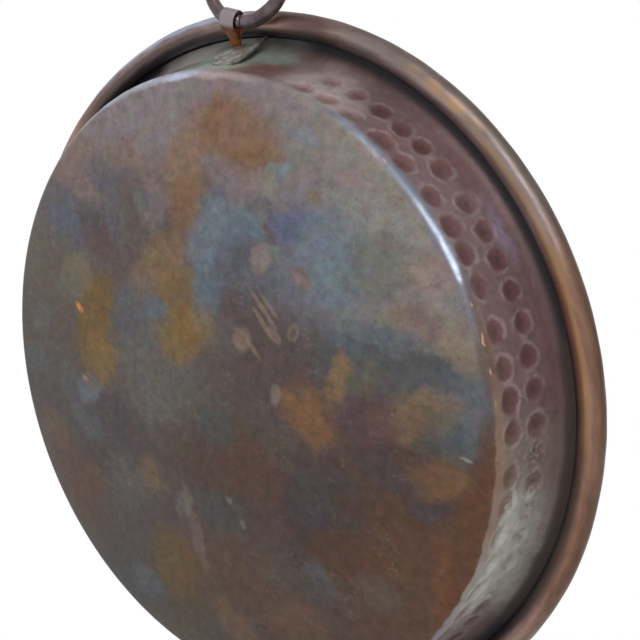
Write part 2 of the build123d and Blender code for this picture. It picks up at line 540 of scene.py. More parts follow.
leg_turn = math.degrees(math.acos(FOLD / LEGS_MEET))
fold_line = (run(Vector((TONGUE_LENGTH, -STRIP / 2)), Vector((LEGS_MEET, -STRIP / 2)), 4)[:-1]
             + arc(Vector((0, 0)), FOLD, -leg_turn, leg_turn - 360, 28)
             + run(Vector((LEGS_MEET, STRIP / 2)), Vector((TONGUE_LENGTH, STRIP / 2)), 4))

strap = draw_line("folded_strap", fold_line, Y, Z)
# The line's first edge ran out from the origin to the strip's foot
bpy.ops.mesh.select_all(action="DESELECT")
bpy.ops.object.mode_set(mode="OBJECT")
for vertex in strap.data.vertices:
    vertex.select = vertex.co.length < STRIP / 4 * MM
bpy.ops.object.mode_set(mode="EDIT")
bpy.ops.mesh.delete(type="VERT")
bpy.ops.mesh.select_all(action="SELECT")
bpy.ops.transform.translate(value=(-STRAP_WIDTH / 2 * MM, 0, 0))
for i in range(COLUMNS):
    bpy.ops.mesh.extrude_region_move(
        TRANSFORM_OT_translate={"value": (STRAP_WIDTH / COLUMNS * MM, 0, 0)})
bpy.ops.mesh.select_all(action="SELECT")
bpy.ops.mesh.normals_make_consistent(inside=False)
bpy.ops.object.mode_set(mode="OBJECT")

strip = points_of(strap)
towards_foot = np.clip((strip[:, 1] - EYE_BORE) / (TONGUE_LENGTH - EYE_BORE), 0, 1)
narrowing = 1 + (TONGUE_WIDTH / STRAP_WIDTH - 1) * towards_foot
strip[:, 0] = strip[:, 0] * narrowing - TONGUE_SKEW * towards_foot
move_points(strap, strip)

thickness = strap.modifiers.new("strip", "SOLIDIFY")
thickness.thickness, thickness.offset = STRIP * MM, 0
rounding = strap.modifiers.new("rubbed edges", "BEVEL")
rounding.width, rounding.segments = EDGE_RUBBED * MM, 2
rounding.angle_limit = math.radians(40)
for modifier in ("strip", "rubbed edges"):
    bpy.ops.object.modifier_apply(modifier=modifier)
strip = points_of(strap)
strip += BEATEN * (wave(strip, BEATEN_EVERY) - 0.5)[:, None]
move_points(strap, strip)
settle(strap, eye @ turned(180, "Z") @ turned(TONGUE_RISE, "X"))
bpy.ops.object.shade_smooth_by_angle(angle=math.radians(50))
print("strap has", len(strap.data.polygons), "faces")

# %% [markdown]
# ## The leaf
# The strap's foot, hammered out of thick sheet to the shape of a leaf and soldered askew
# under the rim. A grid is laid between the leaf's two edges, its crest and its belly,
# and Solidify gives it its thickness. Noise then makes the front as lumpy as it is.

# %% Hammered leaf
LEAF_MIDDLE, LEAF_PITCH, LEAF_THICKNESS = (0.0, 54.15, 7.0), 50.0, 0.5
LOW_END, TIP = (-3.5, -2.0), (2.8, 4.4)
BELLY = (LOW_END, (-2.4, -3.5), (0.2, -4.6), (1.9, -3.3), (2.7, -0.6), TIP)
CREST = (LOW_END, (-2.2, 0.8), (-0.2, 2.1), (1.5, 2.9), TIP)
ALONG, ACROSS = 48, 20             # faces
EDGE_ROUND = 0.16                  # millimetres
BLOW_DEPTH, BLOWS_APART = 0.22, 1.5


def smooth_line(knots, t):
    """A point on a smooth curve through the knots, for t from 0 to 1 along it."""
    knots = [Vector(k) for k in knots]
    knots = [2 * knots[0] - knots[1]] + knots + [2 * knots[-1] - knots[-2]]
    spans = len(knots) - 3
    i = min(int(t * spans), spans - 1)
    u = t * spans - i
    a, b, c, d = knots[i:i + 4]
    return 0.5 * (2 * b + (c - a) * u + (2 * a - 5 * b + 4 * c - d) * u ** 2
                  + (3 * b - a - 3 * c + d) * u ** 3)


pitch = math.radians(LEAF_PITCH)
leaf_place = moved(*LEAF_MIDDLE) @ Matrix((
    (-1, 0, 0), (0, math.cos(pitch), math.sin(pitch)),
    (0, math.sin(pitch), -math.cos(pitch)))).transposed().to_4x4()

bpy.ops.object.select_all(action="DESELECT")
bpy.ops.mesh.primitive_grid_add(x_subdivisions=ALONG, y_subdivisions=ACROSS, size=2)
leaf = bpy.context.object
leaf.name = "hammered_leaf"
for vertex in leaf.data.vertices:
    along = (vertex.co.x + 1) / 2
    spread = 0.5 - 0.5 * math.cos(math.pi * along)   # closer rows at the two ends
    across = (vertex.co.y + 1) / 2
    point = smooth_line(BELLY, spread).lerp(smooth_line(CREST, spread), across)
    vertex.co = Vector((point.x, point.y, 0)) * MM
start_edit(leaf)
bpy.ops.mesh.select_all(action="SELECT")
bpy.ops.mesh.remove_doubles(threshold=0.02 * MM)
bpy.ops.mesh.normals_make_consistent(inside=False)
bpy.ops.object.mode_set(mode="OBJECT")
if sum(face.normal.z for face in leaf.data.polygons) < 0:
    start_edit(leaf)
    bpy.ops.mesh.select_all(action="SELECT")
    bpy.ops.mesh.flip_normals()
    bpy.ops.object.mode_set(mode="OBJECT")
plate = leaf.modifiers.new("plate", "SOLIDIFY")
plate.thickness, plate.offset = LEAF_THICKNESS * MM, -1
rounding = leaf.modifiers.new("rounded edge", "BEVEL")
rounding.width, rounding.segments = EDGE_ROUND * MM, 3
rounding.angle_limit = math.radians(40)
for modifier in ("plate", "rounded edge"):
    bpy.ops.object.modifier_apply(modifier=modifier)
blows = points_of(leaf)
blows[:, 2] -= BLOW_DEPTH * wave(blows, BLOWS_APART) * (blows[:, 2] > -LEAF_THICKNESS / 2)
move_points(leaf, blows)
settle(leaf, leaf_place)
bpy.ops.object.shade_smooth_by_angle(angle=math.radians(60))
print("leaf has", len(leaf.data.polygons), "faces")

# %% [markdown]
# ## The solder
# Soft solder ran in behind the leaf and filled the gap to the wall and the rim. It is a
# subdivided ball, pulled to the shape of the gap and roughened, and every point that
# would go through the copper is laid against it.

# %% Lump of solder
SOLDER_MIDDLE, SOLDER_RADII = (0.2, -1.1, -1.7), (2.1, 2.9, 1.5)
SMALLEST, LUMPINESS = 0.86, 0.28   # of the ball's radius
LUMPS = 2.5                        # across the ball's radius
INTO_SHEET, PUSH_BACK = 0.15, 1.05     # millimetres let into the copper, and share undone
INTO_BRIM = 0.1

bpy.ops.object.select_all(action="DESELECT")
bpy.ops.mesh.primitive_ico_sphere_add(subdivisions=6, radius=MM)
solder = bpy.context.object
solder.name = "solder_fill"
lump = points_of(solder)
lump *= (SMALLEST + LUMPINESS * wave(lump * LUMPS, 1.0))[:, None]
lump = lump * SOLDER_RADII + SOLDER_MIDDLE
move_points(solder, lump)
settle(solder, leaf_place)
lump = points_of(solder)
out, up = np.hypot(lump[:, 0], lump[:, 1]), lump[:, 2]
into_wall = np.hypot(out - WALL_CENTRE.x, up - WALL_CENTRE.y) - WALL_ARC
push = np.clip(into_wall - INTO_SHEET, 0, None)[:, None]
towards_gap = np.stack([lump[:, 0] / out, lump[:, 1] / out, 0 * out], -1)
lump += towards_gap * push * PUSH_BACK
lump[:, 2] = np.minimum(lump[:, 2], BRIM_UNDERSIDE + INTO_BRIM)
move_points(solder, lump)
bpy.ops.object.shade_smooth()
print("solder has", len(solder.data.polygons), "faces")

# %% [markdown]
# ## Old copper
# Bare copper is orange, but little of this bowl is bare. Heat, water and handling leave
# thin films of oxide on it, and a film's colour follows its thickness: straw and ochre,
# then plum, then slate and teal. So the underside is painted the way it came about, as
# soft blots laid one over another, each a place where something stood, ran or dried.
# A Mapping node of the type Texture moves a blot's middle to zero and its edge to one, and
# a spherical Gradient falls off between the two.

# %% How a blot is laid
COLOUR_A, COLOUR_B, MIXED = 6, 7, 2   # sockets of a Mix node that mixes colours
PATINA = {
    "ochre": "7d6238", "deep ochre": "6f552c", "straw": "8c8059", "tan": "84684b",
    "orange brown": "7c5b40", "rust": "63432f", "umber": "54413a", "dark umber": "483c3a",
    "violet brown": "574949", "plum": "5a4348", "dark plum": "4c4448", "indigo": "525a74",
    "violet slate": "57565f", "slate": "5f656d", "dark slate": "4d5254", "blue grey": "6c7480",
    "teal": "62808e", "bright teal": "6f97a8", "olive grey": "625e52", "grey": "66635f",
    "mauve grey": "7f7477", "rose brown": "79665f", "dust": "878079", "pink dust": "8a7874",
    "copper": "e08a50", "dull copper": "b8825c", "painted dark shade": "3a3431", "red rust": "7a4e39",
    "orange rust": "80512f", "pink copper": "c9977c", "sand": "8c7a68",
}


def lay_blots(tree, place, ground, blots):
    """Lays blots over a colour. Each: middle, turn, half sizes, colour, cover, softness."""
    for middle, turn_deg, half_sizes, colour, cover, soft in blots:
        on_blot = add(tree, "Mapping", {"vector_type": "TEXTURE"},
                      {"Vector": place, "Location": middle,
                       "Rotation": (0, 0, math.radians(turn_deg)),
                       "Scale": [half * (1 + soft) for half in half_sizes]})
        ball = add(tree, "TexGradient", {"gradient_type": "SPHERICAL"},
                   {"Vector": on_blot.outputs["Vector"]})
        spread = add(tree, "MapRange", {"interpolation_type": "SMOOTHSTEP"},
                     {"Value": ball.outputs["Fac"], "From Max": 2 * soft / (1 + soft),
                      "To Max": cover})
        mixed = add(tree, "Mix", {"data_type": "RGBA"},
                    {0: spread.outputs["Result"], COLOUR_A: ground,
                     COLOUR_B: hex_colour(PATINA[colour])})
        ground = mixed.outputs[MIXED]
    return ground


def ragged(tree, place, wavelength, reach):
    """Coordinates pushed about by noise, so that what is drawn on them has ragged edges."""
    drift = add(tree, "TexNoise", links={"Vector": place, "Scale": 1 / wavelength,
                                         "Detail": 6.0, "Roughness": 0.62})
    centred = add(tree, "VectorMath", {"operation": "SUBTRACT"},
                  {0: drift.outputs["Color"], 1: (0.5, 0.5, 0.5)})
    pushed = add(tree, "VectorMath", {"operation": "MULTIPLY_ADD"},
                 {0: centred.outputs["Vector"], 1: (reach, reach, reach), 2: place})
    return pushed.outputs["Vector"]


print(len(PATINA), "colours of patina")

# %% [markdown]
# The base has three layers of blots: wide washes of patina, patches over them, and the
# drops and scrapes on top, which keep sharper edges. Their places are read off the real
# underside, with the ring's side up along Y.

# %% Blots on the base
# Each: x, y and half sizes in millimetres, turn in degrees, colour, cover
# The washes in painted dark shade are painted shade, over the bottom of the base and along its
# edge at +X
WASHES = (
    (6, 46, 40, 10, 0, "mauve grey", 0.95), (-35, 32, 18, 14, 40, "dust", 0.95),
    (31, 35, 13, 6, 42, "rose brown", 0.85), (-20, 27, 13, 9, 0, "blue grey", 0.6),
    (32, 25, 11, 5, 10, "violet slate", 0.9), (24, 28, 7, 5, 30, "violet slate", 0.7),
    (41, 8, 8, 15, 0, "olive grey", 0.85), (8, 3, 11, 10, 0, "grey", 0.75),
    (-16, 9, 13, 8, 12, "violet brown", 0.95), (-34, 15, 13, 4, 0, "dark slate", 0.7),
    (-38, 0, 12, 8, -15, "umber", 0.85), (-10, -11, 15, 10, 0, "umber", 0.8),
    (-40, -16, 11, 15, 0, "rust", 0.7), (-27, -12, 7, 10, 0, "dark umber", 0.8),
    (37, -10, 11, 7, 0, "dark slate", 0.75), (20, -12, 9, 6, 0, "dark plum", 0.85),
    (31, -29, 9, 6, 40, "rust", 0.75), (14, -29, 11, 9, 0, "violet brown", 0.6),
    (1, -38, 8, 10, 0, "deep ochre", 0.5), (-14, -31, 13, 8, 20, "rust", 0.6),
    (13, -44, 9, 4, 0, "dark slate", 0.6), (-30, -36, 12, 8, -40, "umber", 0.7),
    (0, -46, 40, 12, 0, "painted dark shade", 0.4), (48, -9, 5, 20, 0, "painted dark shade", 0.5),
    (38, -12, 13, 24, 0, "umber", 0.4), (40, 10, 8, 14, 0, "umber", 0.25),
)
PATCHES = (
    (30, 33, 8, 3, 30, "rose brown", 0.6), (34, 25, 5, 2.2, 8, "indigo", 0.35),
    (24, 23, 5, 3.5, 20, "plum", 0.8), (26, 27, 4, 2.5, 0, "dark plum", 0.6),
    (22, 34, 5, 2.5, 20, "violet slate", 0.6), (18, 38, 5, 2, 10, "orange brown", 0.35),
    (25, 8, 4.5, 9, 24, "deep ochre", 0.9), (23, 1, 4.2, 5.5, 15, "ochre", 0.85),
    (30, 15, 4.5, 4, 0, "straw", 0.35), (33, 12, 4, 3, 0, "olive grey", 0.7),
    (8, 21, 8, 4.2, -38, "tan", 0.68), (4, 17, 6, 3, -40, "ochre", 0.6),
    (0.5, 12, 4.6, 3.6, 10, "ochre", 0.95), (4, 8.5, 4.2, 2.8, 10, "ochre", 0.75),
    (13, 14, 5, 5.5, 0, "grey", 0.5), (16, 11, 5, 5, 20, "violet slate", 0.55),
    (9, 13, 3.5, 1.8, -30, "slate", 0.8), (-3, 20, 3.4, 7, 12, "teal", 0.42),
    (-6, 30, 6, 3, 10, "teal", 0.38), (-2, 27, 4, 6, 30, "blue grey", 0.7),
    (-9, 23, 4.5, 5, 0, "violet slate", 0.75), (-11, 18, 4, 3, 0, "violet brown", 0.6),
    (-6, 42, 8.5, 4.2, 8, "orange brown", 0.75), (-2.5, 43, 1.6, 6, 22, "red rust", 0.35),
    (-9, 38, 5, 2.5, -20, "orange brown", 0.5), (3, 36, 4, 7, -8, "tan", 0.62),
    (3, 30.5, 3, 3.5, 0, "orange brown", 0.48), (10, 36, 4, 3, 0, "rose brown", 0.5),
    (-18.5, 42, 2.4, 1.0, 12, "bright teal", 0.25), (-15, 38.3, 2.2, 0.6, -10, "teal", 0.55),
    (-5.5, 35.6, 2.2, 0.6, -8, "slate", 0.7), (-12, 36, 2.4, 1.8, 0, "dust", 0.6),
    (-17, 31, 4, 2, -20, "indigo", 0.65), (-13.5, 29.3, 1.6, 1.0, 0, "plum", 0.6),
    (-25, 26, 5, 4.5, 0, "teal", 0.32), (-22, 30, 3.5, 3, 0, "blue grey", 0.6),
    (-31, 27, 5, 4, 0, "olive grey", 0.5), (-38, 29, 3, 4, 30, "pink dust", 0.7),
    (-37, 22, 4, 2.2, 0, "rose brown", 0.8), (-42.5, 20, 2.6, 2.6, 0, "sand", 0.5),
    (-30, 18, 6.5, 2.4, -6, "slate", 0.8), (-33, 16, 4, 2, 0, "dark slate", 0.7),
    (-40, 17, 4, 1.8, 0, "dark slate", 0.6), (-44, 12, 2.6, 5.5, 0, "slate", 0.8),
    (-27, 12, 1.4, 3.8, 5, "tan", 0.85), (-31, 13, 4.2, 2.6, -40, "olive grey", 0.6),
    (-22.5, 5, 5.2, 4.0, 15, "orange brown", 0.9), (-20, 9.5, 3, 2, 20, "violet brown", 0.5),
    (-38, 9.5, 7, 2.6, -28, "tan", 0.65), (-32, 7, 5, 4, -35, "plum", 0.75),
    (-43, 3, 4, 2.6, -30, "orange brown", 0.7), (-36, 1, 5, 2.2, 0, "dark plum", 0.6),
    (-42, -1.5, 2.6, 1.8, 0, "dark plum", 0.85), (-48, -4, 2.2, 15, 3, "rust", 0.85),
    (-24, -7, 4, 5.5, 0, "dark plum", 0.7), (-29, -3, 2.2, 1.5, 0, "dark plum", 0.6),
    (-32, -14, 7, 4, -20, "rust", 0.5), (-37, -17, 3.4, 3, 0, "grey", 0.35),
    (-27, -21, 2.6, 4, 0, "slate", 0.5), (-13, -7, 7, 5, 20, "rust", 0.4),
    (-6, -3, 4, 3.5, 0, "dark slate", 0.6), (-8, -18, 6, 4, 0, "dark slate", 0.5),
    (-18, -16, 4, 5, 0, "plum", 0.35), (10, -4, 5, 3, 0, "grey", 0.5),
    (28, -13, 5, 3, 15, "slate", 0.4), (33, -7, 5, 3.4, 15, "slate", 0.25),
    (44, -5, 4, 4, 0, "teal", 0.15), (42, 4, 3.4, 3, 0, "teal", 0.12),
    (27, -6, 3, 3, 0, "blue grey", 0.7), (38, -19, 5, 3.4, 30, "orange brown", 0.35),
    (24, -20, 6, 3, 0, "dark umber", 0.6), (26, -26, 3.5, 4, 0, "rust", 0.6),
    (9, -18, 3.6, 3, 20, "tan", 0.45), (13, -12, 3, 2.4, 0, "plum", 0.5),
    (17, -22, 5, 6, 0, "grey", 0.4), (4, -23, 2.2, 3, 0, "violet brown", 0.6),
    (-3, -25, 1.5, 6.5, -24, "pink dust", 0.35), (0.5, -19, 2, 3.4, 0, "dust", 0.35),
    (2, -33, 5, 6.5, 0, "deep ochre", 0.6), (9, -41, 5, 3, 0, "slate", 0.5),
    (-13, -38, 6, 3, 20, "tan", 0.4), (-25, -30, 6, 4, -30, "orange brown", 0.4),
    (10, 30.5, 4, 3, 0, "mauve grey", 0.5), (-7, 35, 4, 2.6, 10, "mauve grey", 0.5),
    (-6, 12, 4, 4, 0, "grey", 0.4), (-42, 9, 3.4, 3, 0, "dark slate", 0.5),
    (-2, 14, 2.4, 3, 0, "tan", 0.4), (-18, 35.5, 4, 3, 0, "mauve grey", 0.4),
    (-26, -23, 4, 3, 0, "umber", 0.5), (27, -3, 3, 3, 0, "deep ochre", 0.4),
    (-45.5, -11, 1.8, 8, -12, "orange rust", 0.32),
)
DROPS = (
    (-12.4, 25.4, 1.8, 2.3, 0, "pink dust", 0.6), (-12.6, 24.7, 1.3, 0.9, 0, "dust", 0.5),
    (-19.6, 23.8, 2.0, 1.3, 30, "rose brown", 0.85), (-19.4, 23.8, 1.3, 0.7, 30, "pink dust", 0.6),
    (-20.6, 34.6, 1.2, 1.0, 0, "rose brown", 0.8), (13, 31, 2.3, 1.7, 0, "violet slate", 0.5),
    (13.3, 31, 1.5, 1.0, 0, "grey", 0.8), (-4, 33.8, 1.3, 0.8, 0, "slate", 0.6),
    (-10, 12.8, 1.7, 1.9, 0, "sand", 0.6), (-13.7, 18.2, 3.3, 0.4, 43, "sand", 0.6),
    (-13.7, 16.2, 2.9, 0.45, 46, "sand", 0.6), (-14.7, 18.9, 2.3, 0.35, 40, "sand", 0.5),
    (-16, 14.9, 1.4, 0.8, 40, "sand", 0.5), (-12.3, 11.9, 1.8, 0.4, 40, "sand", 0.45),
    (-19.2, 16, 0.9, 1.4, 15, "sand", 0.5),
    (-19.2, 16, 0.45, 0.8, 15, "violet brown", 0.7), (-17, 6, 0.9, 1.7, 0, "dust", 0.6),
    (-18.5, 44.4, 1.2, 0.6, 0, "dust", 0.4), (-26, 38, 2.4, 1.0, -30, "pink dust", 0.6),
    (-30, 33, 1.6, 1.2, 0, "dust", 0.5), (-32, 35.6, 1.0, 0.6, 0, "rose brown", 0.5),
    (29.6, 9.2, 1.3, 0.7, 32, "dull copper", 0.7), (29.7, 9.2, 0.7, 0.35, 32, "copper", 0.9),
    (28, -4.6, 0.8, 0.4, 15, "dull copper", 0.7),
    (-45.6, 6.7, 0.8, 0.22, 0, "dust", 0.8), (-9.5, -15, 0.6, 0.6, 0, "dust", 0.5),
    (-12.8, -18, 0.6, 0.9, 0, "dust", 0.5), (-9, -15.8, 0.9, 0.7, 0, "dark umber", 0.6),
)
BASE_BLOTS, DROP_BLOTS = (
    [((x, y, 0), turn_deg, (half_x, half_y, 1000), colour, cover, soft)
     for blots, soft in groups for x, y, half_x, half_y, turn_deg, colour, cover in blots]
    for groups in (((WASHES, 0.65), (PATCHES, 0.4)), ((DROPS, 0.35),)))
print(len(BASE_BLOTS), "blots and", len(DROP_BLOTS), "drops on the base")

# %% [markdown]
# ## Laying films and lines
# Patina also comes as films, which thicken along some measure such as the height on the
# wall, and as lines, such as the rubbed outline of a dish. A film is a Map Range that
# turns the measure to a cover, and a Mix. A line is the same, measured by how far off the
# line a point is. Dirt and wear vary everywhere, so noise shades colours and gloss too.

# %% Films, lines and finished surfaces
MOST_NOISE = (0.3, 0.7)    # nearly all values of a Noise node lie between these


def lay_film(tree, ground, colour, measure, start, end, least=0.0, most=1.0):
    """Lays a colour that covers from least to most as the measure goes from start to end."""
    cover = add(tree, "MapRange", {"interpolation_type": "SMOOTHSTEP"},
                {"Value": measure, "From Min": start, "From Max": end,
                 "To Min": least, "To Max": most})
    laid = add(tree, "Mix", {"data_type": "RGBA"},
               {0: cover.outputs["Result"], COLOUR_A: ground, COLOUR_B: colour})
    return laid.outputs[MIXED]


def lay_line(tree, ground, colour, measure, line, half_widths, strength, where):
    """Lays a colour where the measure is near the line, and only as much as `where` says."""
    past = add(tree, "Math", {"operation": "SUBTRACT"}, {0: measure, 1: line})
    off = add(tree, "Math", {"operation": "ABSOLUTE"}, {0: past.outputs["Value"]})
    near = add(tree, "MapRange", {"interpolation_type": "SMOOTHSTEP"},
               {"Value": off.outputs["Value"], "From Min": half_widths[0],
                "From Max": half_widths[1], "To Min": strength, "To Max": 0.0})
    cover = add(tree, "Math", {"operation": "MULTIPLY"}, {0: near.outputs["Result"], 1: where})
    laid = add(tree, "Mix", {"data_type": "RGBA"},
               {0: cover.outputs["Value"], COLOUR_A: ground, COLOUR_B: colour})
    return laid.outputs[MIXED]


def shade_by(tree, ground, measure, limits, shades):
    """Multiplies a colour by a shade, as the measure goes from one limit to the other."""
    shade = add(tree, "MapRange",
                links={"Value": measure, "From Min": limits[0], "From Max": limits[1],
                       "To Min": shades[0], "To Max": shades[1]})
    shaded = add(tree, "Mix", {"data_type": "RGBA", "blend_type": "MULTIPLY"},
                 {0: 1.0, COLOUR_A: ground, COLOUR_B: shade.outputs["Result"]})
    return shaded.outputs[MIXED]


def finish_surface(tree, shader, colour, metallic, gloss, roughness, height, strength, depth):
    """Joins a colour, a roughness that follows the noise `gloss`, and bumps by `height`."""
    tree.links.new(colour, shader.inputs["Base Color"])
    shader.inputs["Metallic"].default_value = metallic
    rough = add(tree, "MapRange",
                links={"Value": gloss, "From Min": MOST_NOISE[0], "From Max": MOST_NOISE[1],
                       "To Min": roughness[0], "To Max": roughness[1]})
    tree.links.new(rough.outputs["Result"], shader.inputs["Roughness"])
    bump = add(tree, "Bump", links={"Height": height, "Strength": strength,
                                    "Distance": depth * MM})
    tree.links.new(bump.outputs["Normal"], shader.inputs["Normal"])


print("a film's cover rises smoothly, a line's falls off on both sides")

# %% [markdown]
# ## The outside of the bowl
# One material for the underside and the wall, "oxidised hammered copper", because the
# patina runs from one to the other. The distance from the axis chooses between them.
# The base comes first. Its blots are drawn on coordinates that are pushed about three
# times, coarse, fine and finer, so their edges are ragged at every scale.

# %% Outside: the base
BLOT_EDGES = ((9.0, 6.0), (2.2, 2.4), (0.7, 1.0))    # wavelength and reach of each push
outside, tree, shader, place = new_material("oxidised hammered copper")
split = add(tree, "SeparateXYZ", links={"Vector": place})
flat = add(tree, "VectorMath", {"operation": "MULTIPLY"}, {0: place, 1: (1, 1, 0)})
from_axis = add(tree, "VectorMath", {"operation": "LENGTH"}, {0: flat.outputs["Vector"]})
out = from_axis.outputs["Value"]
blotted = place
for wavelength, reach in BLOT_EDGES:
    blotted = ragged(tree, blotted, wavelength, reach)
base_colour = lay_blots(tree, blotted, hex_colour("5b514c"), BASE_BLOTS)
base_colour = lay_blots(tree, ragged(tree, place, 1.5, 0.8), base_colour, DROP_BLOTS)
print("base has", len(tree.nodes), "nodes")

# %% [markdown]
# A drying puddle leaves thin rings, pale with salts or dark with soot. They are contour
# lines of a noise, drawn only where a second, larger noise says that a puddle stood, and
# a Voronoi pattern adds specks of lime and flakes of scale in the same places.

# %% Outside: tide marks and specks
# Each mark: level of its contour, where it starts and is full on the second noise, colour, cover
TIDE_MARKS = ((0.50, 0.50, 0.60, "94897a", 0.16), (0.56, 0.46, 0.56, "45373a", 0.26),
              (0.44, 0.54, 0.44, "45373a", 0.26), (0.47, 0.52, 0.62, "8a8c86", 0.14))
TIDE_HALF_WIDTHS = (0.0, 0.016)
# Each kind of speck: where it starts and is full on the second noise, colour, cover
SPECKS = ((0.50, 0.62, "9a9082", 0.2), (0.50, 0.38, "3d3233", 0.26))

tide = add(tree, "TexNoise", links={"Vector": ragged(tree, place, 2.2, 1.6), "Scale": 1 / 4.2,
                                    "Detail": 5.0, "Roughness": 0.6, "Distortion": 1.0})
puddles = add(tree, "TexNoise", links={"Vector": place, "Scale": 1 / 8.0, "Detail": 3.0})
for level, dry, wet, code, cover in TIDE_MARKS:
    here_only = add(tree, "MapRange", {"interpolation_type": "SMOOTHSTEP"},
                    {"Value": puddles.outputs["Fac"], "From Min": dry, "From Max": wet,
                     "To Max": cover})
    base_colour = lay_line(tree, base_colour, hex_colour(code), tide.outputs["Fac"], level,
                           TIDE_HALF_WIDTHS, 1.0, here_only.outputs["Result"])
speck = add(tree, "TexVoronoi", links={"Vector": ragged(tree, place, 0.8, 0.5),
                                       "Scale": 1 / 1.1})
is_speck = add(tree, "MapRange", links={"Value": speck.outputs["Distance"], "From Min": 0.10,
                                        "From Max": 0.22, "To Min": 1.0, "To Max": 0.0})
for dry, wet, code, cover in SPECKS:
    here_only = add(tree, "MapRange", {"interpolation_type": "SMOOTHSTEP"},
                    {"Value": puddles.outputs["Fac"], "From Min": dry, "From Max": wet,
                     "To Max": cover})
    drawn = add(tree, "Math", {"operation": "MULTIPLY"},
                {0: is_speck.outputs["Result"], 1: here_only.outputs["Result"]})
    marked = add(tree, "Mix", {"data_type": "RGBA"},
                 {0: drawn.outputs["Value"], COLOUR_A: base_colour, COLOUR_B: hex_colour(code)})
    base_colour = marked.outputs[MIXED]
print(len(TIDE_MARKS), "kinds of tide mark and", len(SPECKS), "kinds of speck")

# %% [markdown]
# Films this thin vary a little in hue over a millimetre or two, and more in lightness.
# Painted shade darkens the base towards the side away from the ring.

# %% Outside: hue and painted shade of the base
TINTS = ((2.6, 0.28), (0.8, 0.24))    # millimetres between flecks, strength
CLOUD_SHADES, WALL_SHADES = (0.74, 1.26), (0.84, 1.2)
PAINTED_SHADE_FROM_TO, PAINTED_SHADE_LEVELS = (-32, 36), (0.70, 1.05)    # along Y, in millimetres

for fleck, strength in TINTS:
    mottle = add(tree, "TexNoise", links={"Vector": place, "Scale": 1 / fleck, "Detail": 6.0,
                                          "Roughness": 0.68})
    tint = add(tree, "VectorMath", {"operation": "MULTIPLY_ADD"},
               {0: mottle.outputs["Color"], 1: (strength * 2,) * 3, 2: (1 - strength,) * 3})
    flecked = add(tree, "Mix", {"data_type": "RGBA", "blend_type": "MULTIPLY"},
                  {0: 1.0, COLOUR_A: base_colour, COLOUR_B: tint.outputs["Vector"]})
    base_colour = flecked.outputs[MIXED]
cloudy = add(tree, "TexNoise", links={"Vector": place, "Scale": 1 / 1.8, "Detail": 8.0,
                                      "Roughness": 0.7})
base_colour = shade_by(tree, base_colour, cloudy.outputs["Fac"], MOST_NOISE, CLOUD_SHADES)
# Painted shade: the base gets darker towards -Y
base_colour = shade_by(tree, base_colour, split.outputs["Y"], PAINTED_SHADE_FROM_TO, PAINTED_SHADE_LEVELS)
print("the soot is full", -PAINTED_SHADE_FROM_TO[0], "mm from the middle")

# %% [markdown]
# ## The wall
# Each hammer mark is dark wine-red in its dish, where tarnish stays, and has a pale
# outline on its rim, partly rubbed by a cloth and partly a painted highlight where the
# ridge catches the light. Both follow the distance map that was kept with the mesh,
# blurred by a noise, so that no two dishes are alike. The ground is blots again, placed
# by their bearing round the bowl.

# %% Outside: the wall's ground
PATINA.update({"wall red": "7a5956", "mauve": "7f696c", "dark mauve": "755c5e",
               "lilac highlight": "9488a0", "verdigris": "8ea096", "pale verdigris": "aaa9a0",
               "pale pink dust": "b5a7a5", "warm grey": "80736c"})


def on_ring(radius, turn_deg, z, half_sizes, colour, cover, soft):
    """A blot whose middle lies round the bowl, at this bearing and radius."""
    turn = math.radians(turn_deg)
    return ((radius * math.cos(turn), radius * math.sin(turn), z), turn_deg, half_sizes,
            colour, cover, soft)


# Blots on the wall: bearing in degrees, height, half width and half height in mm
# The lilac blot at 142 degrees is a painted highlight, and the pale verdigris at 91 degrees is
# painted light in the leaf's shadow
WALL_BLOTS = [on_ring(52, turn_deg, z, (20, half_wide, half_high), colour, cover, 0.6)
              for turn_deg, z, half_wide, half_high, colour, cover in (
                  (131, 5, 13, 12, "mauve", 0.9), (157, 5, 9, 12, "dark mauve", 0.9),
                  (174, 5, 6, 12, "warm grey", 0.9), (109, 4.4, 5.5, 5.0, "pale pink dust", 0.9),
                  (116, 2, 2, 3, "pale pink dust", 0.5),
                  (87, 4.2, 7, 7.5, "verdigris", 1.0), (68, 5, 9, 6, "mauve grey", 0.6),
                  (98.6, 4, 3.4, 5, "wall red", 0.95), (96, 1.4, 3, 1.6, "wall red", 0.8),
                  (96, 8, 5, 1.9, "verdigris", 0.85), (185, 4.6, 7, 6, "pale verdigris", 0.85),
                  (196, 4.6, 5, 8, "pale verdigris", 0.8), (204, 5, 6, 5, "mauve grey", 0.7),
                  (142, 8.9, 4, 0.8, "lilac highlight", 0.5), (132, 8.8, 3, 1.2, "wall red", 0.5),
                  (91, 5, 4, 6, "pale verdigris", 0.7),
                  (125, 4.4, 4, 4, "wall red", 0.4),
                  (30, 5, 30, 5, "rose brown", 0.5), (240, 4, 20, 4, "verdigris", 0.5),
                  (300, 5, 26, 5, "mauve grey", 0.5))]
wall_ground = lay_blots(tree, ragged(tree, place, 2.5, 3.0), hex_colour("6d5a58"), WALL_BLOTS)
print(len(WALL_BLOTS), "blots on the wall")

# %% [markdown]
# The dishes are laid over that ground: the tarnish in them, the darkest in the middle of
# some, and the pale outline on top. Between the last two the upper wall is painted
# lighter, as painted light where it turns from the light, so the outlines stay as bright
# there as below.

# %% Outside: the dishes
# How far a point is from a dish's middle, in half sizes of the dish
DISH_EDGE = (0.8, 1.35)
OUTLINE, OUTLINE_HALF_WIDTHS, OUTLINE_COVER = 1.31, (0.0, 0.3), 0.58
PAINTED_LIGHT_FROM_TO = (7.4, 9.0)         # millimetres above the table

dish = add(tree, "Attribute", {"attribute_name": "mark_distance"})
shade = add(tree, "Attribute", {"attribute_name": "mark_shade"})
blur = add(tree, "TexNoise", links={"Vector": place, "Scale": 1 / 0.8, "Detail": 4.0})
uneven = add(tree, "Math", {"operation": "MULTIPLY_ADD"},
             {0: blur.outputs["Fac"], 1: 0.42, 2: dish.outputs["Fac"]})
